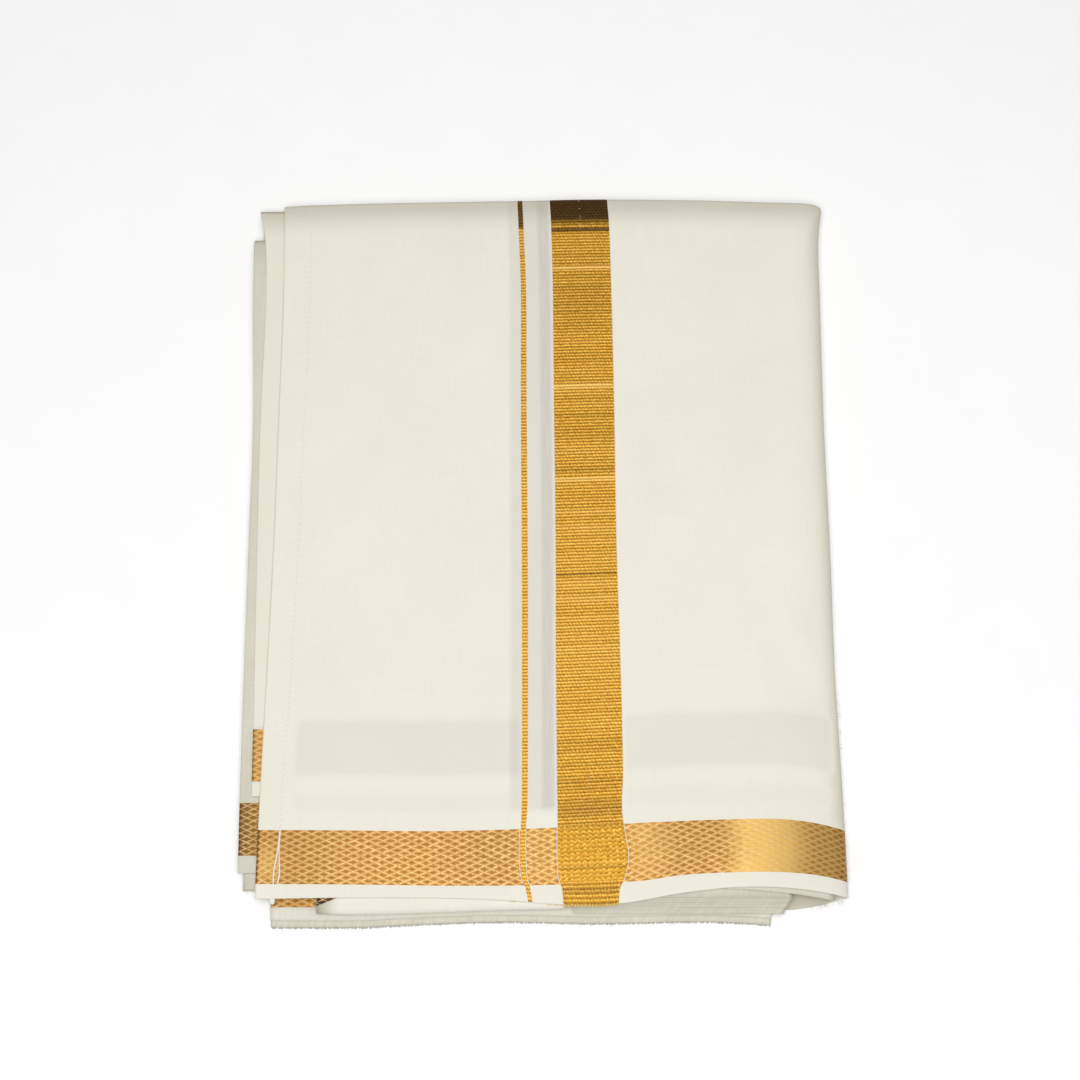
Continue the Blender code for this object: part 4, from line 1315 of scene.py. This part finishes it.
class DHOTI_OT_lower_leaf(bpy.types.Operator):
    """Adds the leaf that stands out furthest in front, in two layers, with its border on the left"""

    bl_idname = "dhoti.lower_leaf"
    bl_label = "Lower leaf"

    def execute(self, context):
        # Painted shade: the upper leaf in the thin cotton and fold shade colours, the lower in the fold shade
        # and deep shade ones
        upper = self.leaf("lower_leaf_upper", UPPER_HALF, 2.3, "thin_cotton", "fold_shade_cotton")
        lower = self.leaf("lower_leaf_lower", LOWER_HALF, 1.35, "fold_shade_cotton", "deep_shade_cotton")
        x = spaced(LEAF_LEFT + 0.2, LEAF_BORDER_RIGHT, 1.0)
        y = spaced(LEAF_BORDER_FRONT, LEAF_BACK + 1.0, 0.8)
        across, along = np.meshgrid(x, y)
        points = np.stack([across, along, 0.0 * across + LEAF_TOP + 0.12], axis=-1)
        u, v = across + 120.0, along - LEAF_BORDER_FRONT
        # Painted shade: the leaf's border is a little darker than plain, and darker over its first 3.5 mm
        # from its left edge
        shade = 0.46 - 0.3 * (1 - eased(u, 0.0, 3.5))
        gold = gold_diamonds("leaf_gold_diamonds")
        border = settle(grid_object("leaf_border", points, u, v, [gold], shade))
        self.teeth()
        return {"FINISHED"}

    def teeth(self):
        """The small teeth of the selvedge along the leaf's front."""
        chance = random.Random(5)
        places = []
        for x in np.arange(LEAF_LEFT + 0.6, LEAF_RIGHT - 0.4, TEETH_PITCH):
            y = float(read(LEAF_FRONT, "y", x)) - chance.uniform(0.0, 0.35)
            places.append((x + chance.uniform(-0.3, 0.3), y, 0.75 + chance.uniform(-0.2, 0.4), 0.0))
        # Painted shade: the teeth are grey, much darker than the white cotton, for the shade along the leaf's
        # front edge
        thread = spun_thread("selvedge_thread", "A0A196", "C9C7BB")
        return copies("selvedge_teeth", (0.4, 0.5, 0.36), places, thread)

    def leaf(self, name, section, bottom, white, thin):
        rings = []
        for x in spaced(LEAF_LEFT, LEAF_RIGHT, 2.0):
            front = float(read(LEAF_FRONT, "y", x))
            ring = [(x, LEAF_BACK, section[0].height)]
            ring += [(x, front + corner.back, corner.height) for corner in section]
            ring.append((x, LEAF_BACK, bottom))
            rings.append(np.array(ring))
        made = closed_rings(name, rings, leaf_edges(name + "_edges", white, thin))
        return settle(made, "lower_leaf")


def copies(name, size, places, material):
    """Many small rounded bits of thread as one mesh, each made from one shaped bit."""
    bpy.ops.object.select_all(action="DESELECT")
    bpy.ops.mesh.primitive_uv_sphere_add(segments=8, ring_count=5, radius=1.0 * MM)
    made = bpy.context.object
    made.name = name
    bpy.ops.object.mode_set(mode="EDIT")
    bpy.ops.mesh.select_all(action="SELECT")
    bpy.ops.transform.resize(value=size)
    bpy.ops.object.mode_set(mode="OBJECT")
    bit = made.data.copy()
    shape = bmesh.new()
    for x, y, z, turn in places:
        before = len(shape.verts)
        shape.from_mesh(bit)
        shape.verts.ensure_lookup_table()
        place = Matrix.Translation(Vector((x, y - MIDDLE_Y, z)) * MM) @ Matrix.Rotation(turn, 4, "Z")
        bmesh.ops.transform(shape, matrix=place, verts=shape.verts[before:])
    shape.to_mesh(made.data)
    shape.free()
    bpy.data.meshes.remove(bit)
    made.data.materials.append(material)
    made.data.shade_smooth()
    return settle(made)


def strands(name, routes, thickness, material):
    """Loose strands as one mesh: each a smooth curve through its points, with a round section."""
    curve = bpy.data.curves.new(name, "CURVE")
    curve.dimensions = "3D"
    curve.bevel_depth = thickness / 2 * MM
    curve.bevel_resolution = 1
    curve.resolution_u = 4
    curve.use_fill_caps = True
    for route in routes:
        spline = curve.splines.new("NURBS")
        spline.points.add(len(route) - 1)
        for point, (x, y, z) in zip(spline.points, route):
            point.co = (x * MM, (y - MIDDLE_Y) * MM, z * MM, 1.0)
        spline.use_endpoint_u = True
        spline.order_u = 3
    select_only(linked(name, curve))
    bpy.ops.object.convert(target="MESH")
    made = bpy.context.object
    made.data.materials.append(material)
    made.data.shade_smooth()
    return settle(made)


def on_top(x, y, lift):
    """A point just above the top sheet."""
    return x, y, float(surface(x, y)) + lift


class DHOTI_OT_hem_sewing(bpy.types.Operator):
    """Adds the hem stitches, and the threads that pucker where the hem crosses the border"""

    bl_idname = "dhoti.hem_sewing"
    bl_label = "Hem sewing"

    def execute(self, context):
        chance = random.Random(3)
        rows = np.arange(BORDER_END + 2.0, V_BACK + 1.0, sizes().stitch_pitch / MM)
        rows = rows + np.array([chance.uniform(-0.2, 0.2) for _ in rows])
        points, _ = grid_points(TOP, [Column("flat", 1.0, 0.0)], rows, 0.02)
        places = [(*point, chance.uniform(-0.25, 0.05)) for point in points[:, 0]]
        size = (0.19, 0.55, 0.09)
        # Painted shade: the stitches are a darker beige than the cotton, for the shade of the dimples they
        # sit in
        copies("hem_stitches", size, places, spun_thread("stitch_thread", "D2C8B4", "E8E2D4"))
        routes = []
        for offsets in (PUCKER_LEFT, PUCKER_RIGHT):
            for shift in (0.0, 0.28):
                route = []
                for v, offset in offsets:
                    y = float(top_row(-115.0, v))
                    x = float(read(SECTIONS, "stitch", y)) + offset + shift
                    route.append(on_top(x + chance.uniform(-0.12, 0.12), y, 0.16 + chance.uniform(0, 0.1)))
                routes.append(route)
        strands("hem_pucker", routes, 0.42, spun_thread("pucker_thread", "E2DACB", "F4F0E6"))
        return {"FINISHED"}


# Threads across the border at the hem: V, and how far from the stitches
PUCKER_LEFT = ((32.0, 0.1), (27.5, 0.0), (23.0, -0.35), (18.0, -0.9), (14.0, -1.4), (10.0, -1.7), (6.5, -1.6))
PUCKER_RIGHT = ((30.0, 0.0), (24.0, -0.1), (20.0, 0.2), (16.0, 0.5), (12.0, 0.9), (9.0, 0.8), (6.8, 0.3))

# The two ends of the loops at the band's end, the flecks of gold beside it, the nap on the back fold, and
# the place and turn of the tuft at the hem's front end
LOOPS_FROM, LOOPS_TO = 10.3, 33.2
FLECKS_AT = (-13.2, -12.1, -11.4, 3.4, 4.6, 6.3, 7.0, 8.5)
NAP_FROM, NAP_TO, NAP_PITCH = -120.0, 129.0, 1.3
HEM_TAIL = (-117.3, -159.9, 12.6, 0.15)
# How many loose fibres there are along the right fold, below its front end and along the lower leaf
FIBRES_AT_FOLD, FIBRES_BELOW_FOLD, FIBRES_AT_LEAF = 26, 16, 20
# A thread end that hangs out of the lower leaf's selvedge
STRAY_THREAD = [(56.2, -167.6, 1.0), (56.5, -168.4, 1.1), (56.7, -169.2, 0.9), (56.8, -170.1, 0.4)]


class DHOTI_OT_loose_threads(bpy.types.Operator):
    """Adds the loops at the band's end, the nap on the back fold, and a few loose fibres"""

    bl_idname = "dhoti.loose_threads"
    bl_label = "Loose threads"

    def execute(self, context):
        chance = random.Random(5)
        ends = []
        bits = []
        for x in spaced(LOOPS_FROM, LOOPS_TO, sizes().bead_pitch / MM):
            y = float(read(FRONT, "y", x)) - chance.uniform(0.0, 0.4)
            ends.append((*on_top(x, y, chance.uniform(0.1, 0.4)), chance.uniform(-0.4, 0.4)))
        for x in FLECKS_AT:
            y = float(read(FRONT, "y", x)) - 0.15
            bits.append((*on_top(x, y, -0.3), chance.uniform(-0.6, 0.6)))
        copies("gold_ends", (0.66, 0.9, 0.4), ends, gold_bits("gold_end_loops"))
        copies("gold_flecks", (0.45, 0.2, 0.2), bits, gold_bits("gold_fleck_film"))
        tail = spun_thread("hem_end", "E2DFD2", "F2EFE4")
        copies("hem_tail", (1.3, 1.9, 0.5), [HEM_TAIL], tail)
        nap = []
        for x in np.arange(NAP_FROM, NAP_TO, NAP_PITCH):
            x, y = x + chance.uniform(-0.3, 0.3), float(read(BACK, "y", x)) - chance.uniform(0.1, 0.3)
            nap.append((*on_top(x, y - 1.0, -1.6), 0.0))
        # Painted shade: the nap is grey, darker than the cotton, for the shade on the back fold's edge
        copies("back_fold_nap", (0.4, 1.3, 0.35), nap, spun_thread("nap_fibre", "A5A598", "CBC9BC"))
        fibres = [STRAY_THREAD]
        for _ in range(FIBRES_AT_FOLD):
            y = chance.uniform(-92.0, -60.0) if chance.random() < 0.6 else chance.uniform(-150.0, -100.0)
            x, height = float(read(SECTIONS, "right", y)) - 0.3, float(read(SECTIONS, "tip", y))
            fibres.append(self.fibre(chance, x, y, height + chance.uniform(-2.0, 3.0), (1.0, -0.3)))
        for _ in range(FIBRES_BELOW_FOLD):
            x = chance.uniform(118.0, 133.0)
            fibres.append(self.fibre(chance, x, float(read(UNDER_FRONT, "y", x)) + 0.3, 3.0, (0.5, -1.0)))
        for _ in range(FIBRES_AT_LEAF):
            x = chance.uniform(LEAF_LEFT, LEAF_RIGHT)
            fibres.append(self.fibre(chance, x, float(read(LEAF_FRONT, "y", x)) + 0.2, 1.0, (0.2, -1.0)))
        strands("loose_fibres", fibres, 0.12, spun_thread("cotton_fibre", "C9C6B8", "E6E3D8"))
        return {"FINISHED"}

    def fibre(self, chance, x, y, z, away):
        """A short fibre that leaves the cloth one way and curls."""
        route = [(x, y, z)]
        step = chance.uniform(0.3, 0.8)
        for _ in range(4):
            x += step * (away[0] + chance.uniform(-0.7, 0.7)) * 0.7
            y += step * (away[1] + chance.uniform(-0.7, 0.7)) * 0.7
            z = max(z + step * chance.uniform(-0.6, 0.5), 0.1)
            route.append((x, y, z))
        return route


# Camera: the photograph's angle
CAMERA_TARGET = (-0.0005, 0.0042, 0.010)
CAMERA_ELEVATION = 75.0
CAMERA_DISTANCE = 1.0914
CAMERA_LENS = 80.0
CAMERA_SENSOR = 36.0

# Lights: where each stands, how wide it is and how bright
Light = namedtuple("Light", "name place size power")
LIGHTS = (
    Light("key_light", (-0.05, -0.45, 1.62), 0.9, 16.7),
    Light("top_light", (0.1, 0.05, 1.9), 1.2, 9.0),
)
STUDIO_LEVEL = 0.25


class DHOTI_OT_stage(bpy.types.Operator):
    """Adds the floor, the soft studio light and the camera"""

    bl_idname = "dhoti.stage"
    bl_label = "Floor, light and camera"

    def execute(self, context):
        bpy.ops.object.select_all(action="DESELECT")
        bpy.ops.mesh.primitive_plane_add(size=6.0, location=(0.0, 0.0, -0.2 * MM))
        floor = bpy.context.object
        floor.name = "floor"
        bpy.ops.object.transform_apply(location=True)
        floor.data.materials.append(studio_paper("seamless_paper"))
        for light in LIGHTS:
            self.light(light)
        world = bpy.data.worlds.new("studio")
        world.use_nodes = True
        world.node_tree.nodes["Background"].inputs["Color"].default_value = (1.0, 1.0, 1.0, 1.0)
        world.node_tree.nodes["Background"].inputs["Strength"].default_value = STUDIO_LEVEL
        context.scene.world = world
        context.scene.view_settings.view_transform = "Standard"
        self.camera(context)
        return {"FINISHED"}

    def light(self, light):
        data = bpy.data.lights.new(light.name, "AREA")
        data.shape = "DISK"
        data.size = light.size
        data.energy = light.power
        made = linked(light.name, data)
        made.location = light.place
        made.rotation_euler = Vector(light.place).to_track_quat("Z", "Y").to_euler()

    def camera(self, context):
        data = bpy.data.cameras.new("camera")
        data.lens = CAMERA_LENS
        data.sensor_width = CAMERA_SENSOR
        made = linked("camera", data)
        tilt = math.radians(CAMERA_ELEVATION)
        back = Vector((0.0, -math.cos(tilt), math.sin(tilt)))
        made.location = Vector(CAMERA_TARGET) + CAMERA_DISTANCE * back
        made.rotation_euler = back.to_track_quat("Z", "Y").to_euler()
        context.scene.camera = made


OPERATORS = (
    DHOTI_OT_top_sheet,
    DHOTI_OT_under_sheets,
    DHOTI_OT_front_folds,
    DHOTI_OT_folded_stack,
    DHOTI_OT_lower_leaf,
    DHOTI_OT_hem_sewing,
    DHOTI_OT_loose_threads,
    DHOTI_OT_gold_borders,
    DHOTI_OT_stage,
)
GROUPS = (DhotiSizes, DhotiColours)


class DHOTI_PT_pieces(bpy.types.Panel):
    """Lists the pieces, sizes and colours"""

    bl_idname = "DHOTI_PT_pieces"
    bl_label = "Folded dhoti"
    bl_space_type = "VIEW_3D"
    bl_region_type = "UI"
    bl_category = "Dhoti"

    def draw(self, context):
        for group in (context.scene.dhoti_sizes, context.scene.dhoti_colours):
            for name in group.__annotations__:
                self.layout.prop(group, name)
        for operator in OPERATORS:
            self.layout.operator(operator.bl_idname)


def register():
    for made in (*GROUPS, *OPERATORS, DHOTI_PT_pieces):
        bpy.utils.register_class(made)
    bpy.types.Scene.dhoti_sizes = PointerProperty(type=DhotiSizes)
    bpy.types.Scene.dhoti_colours = PointerProperty(type=DhotiColours)


def unregister():
    del bpy.types.Scene.dhoti_colours
    del bpy.types.Scene.dhoti_sizes
    for made in (DHOTI_PT_pieces, *reversed(OPERATORS), *reversed(GROUPS)):
        bpy.utils.unregister_class(made)


def main():
    """Makes every piece."""
    register()
    for operator in OPERATORS:
        group, name = operator.bl_idname.split(".")
        getattr(getattr(bpy.ops, group), name)()


if __name__ == "__main__":
    main()
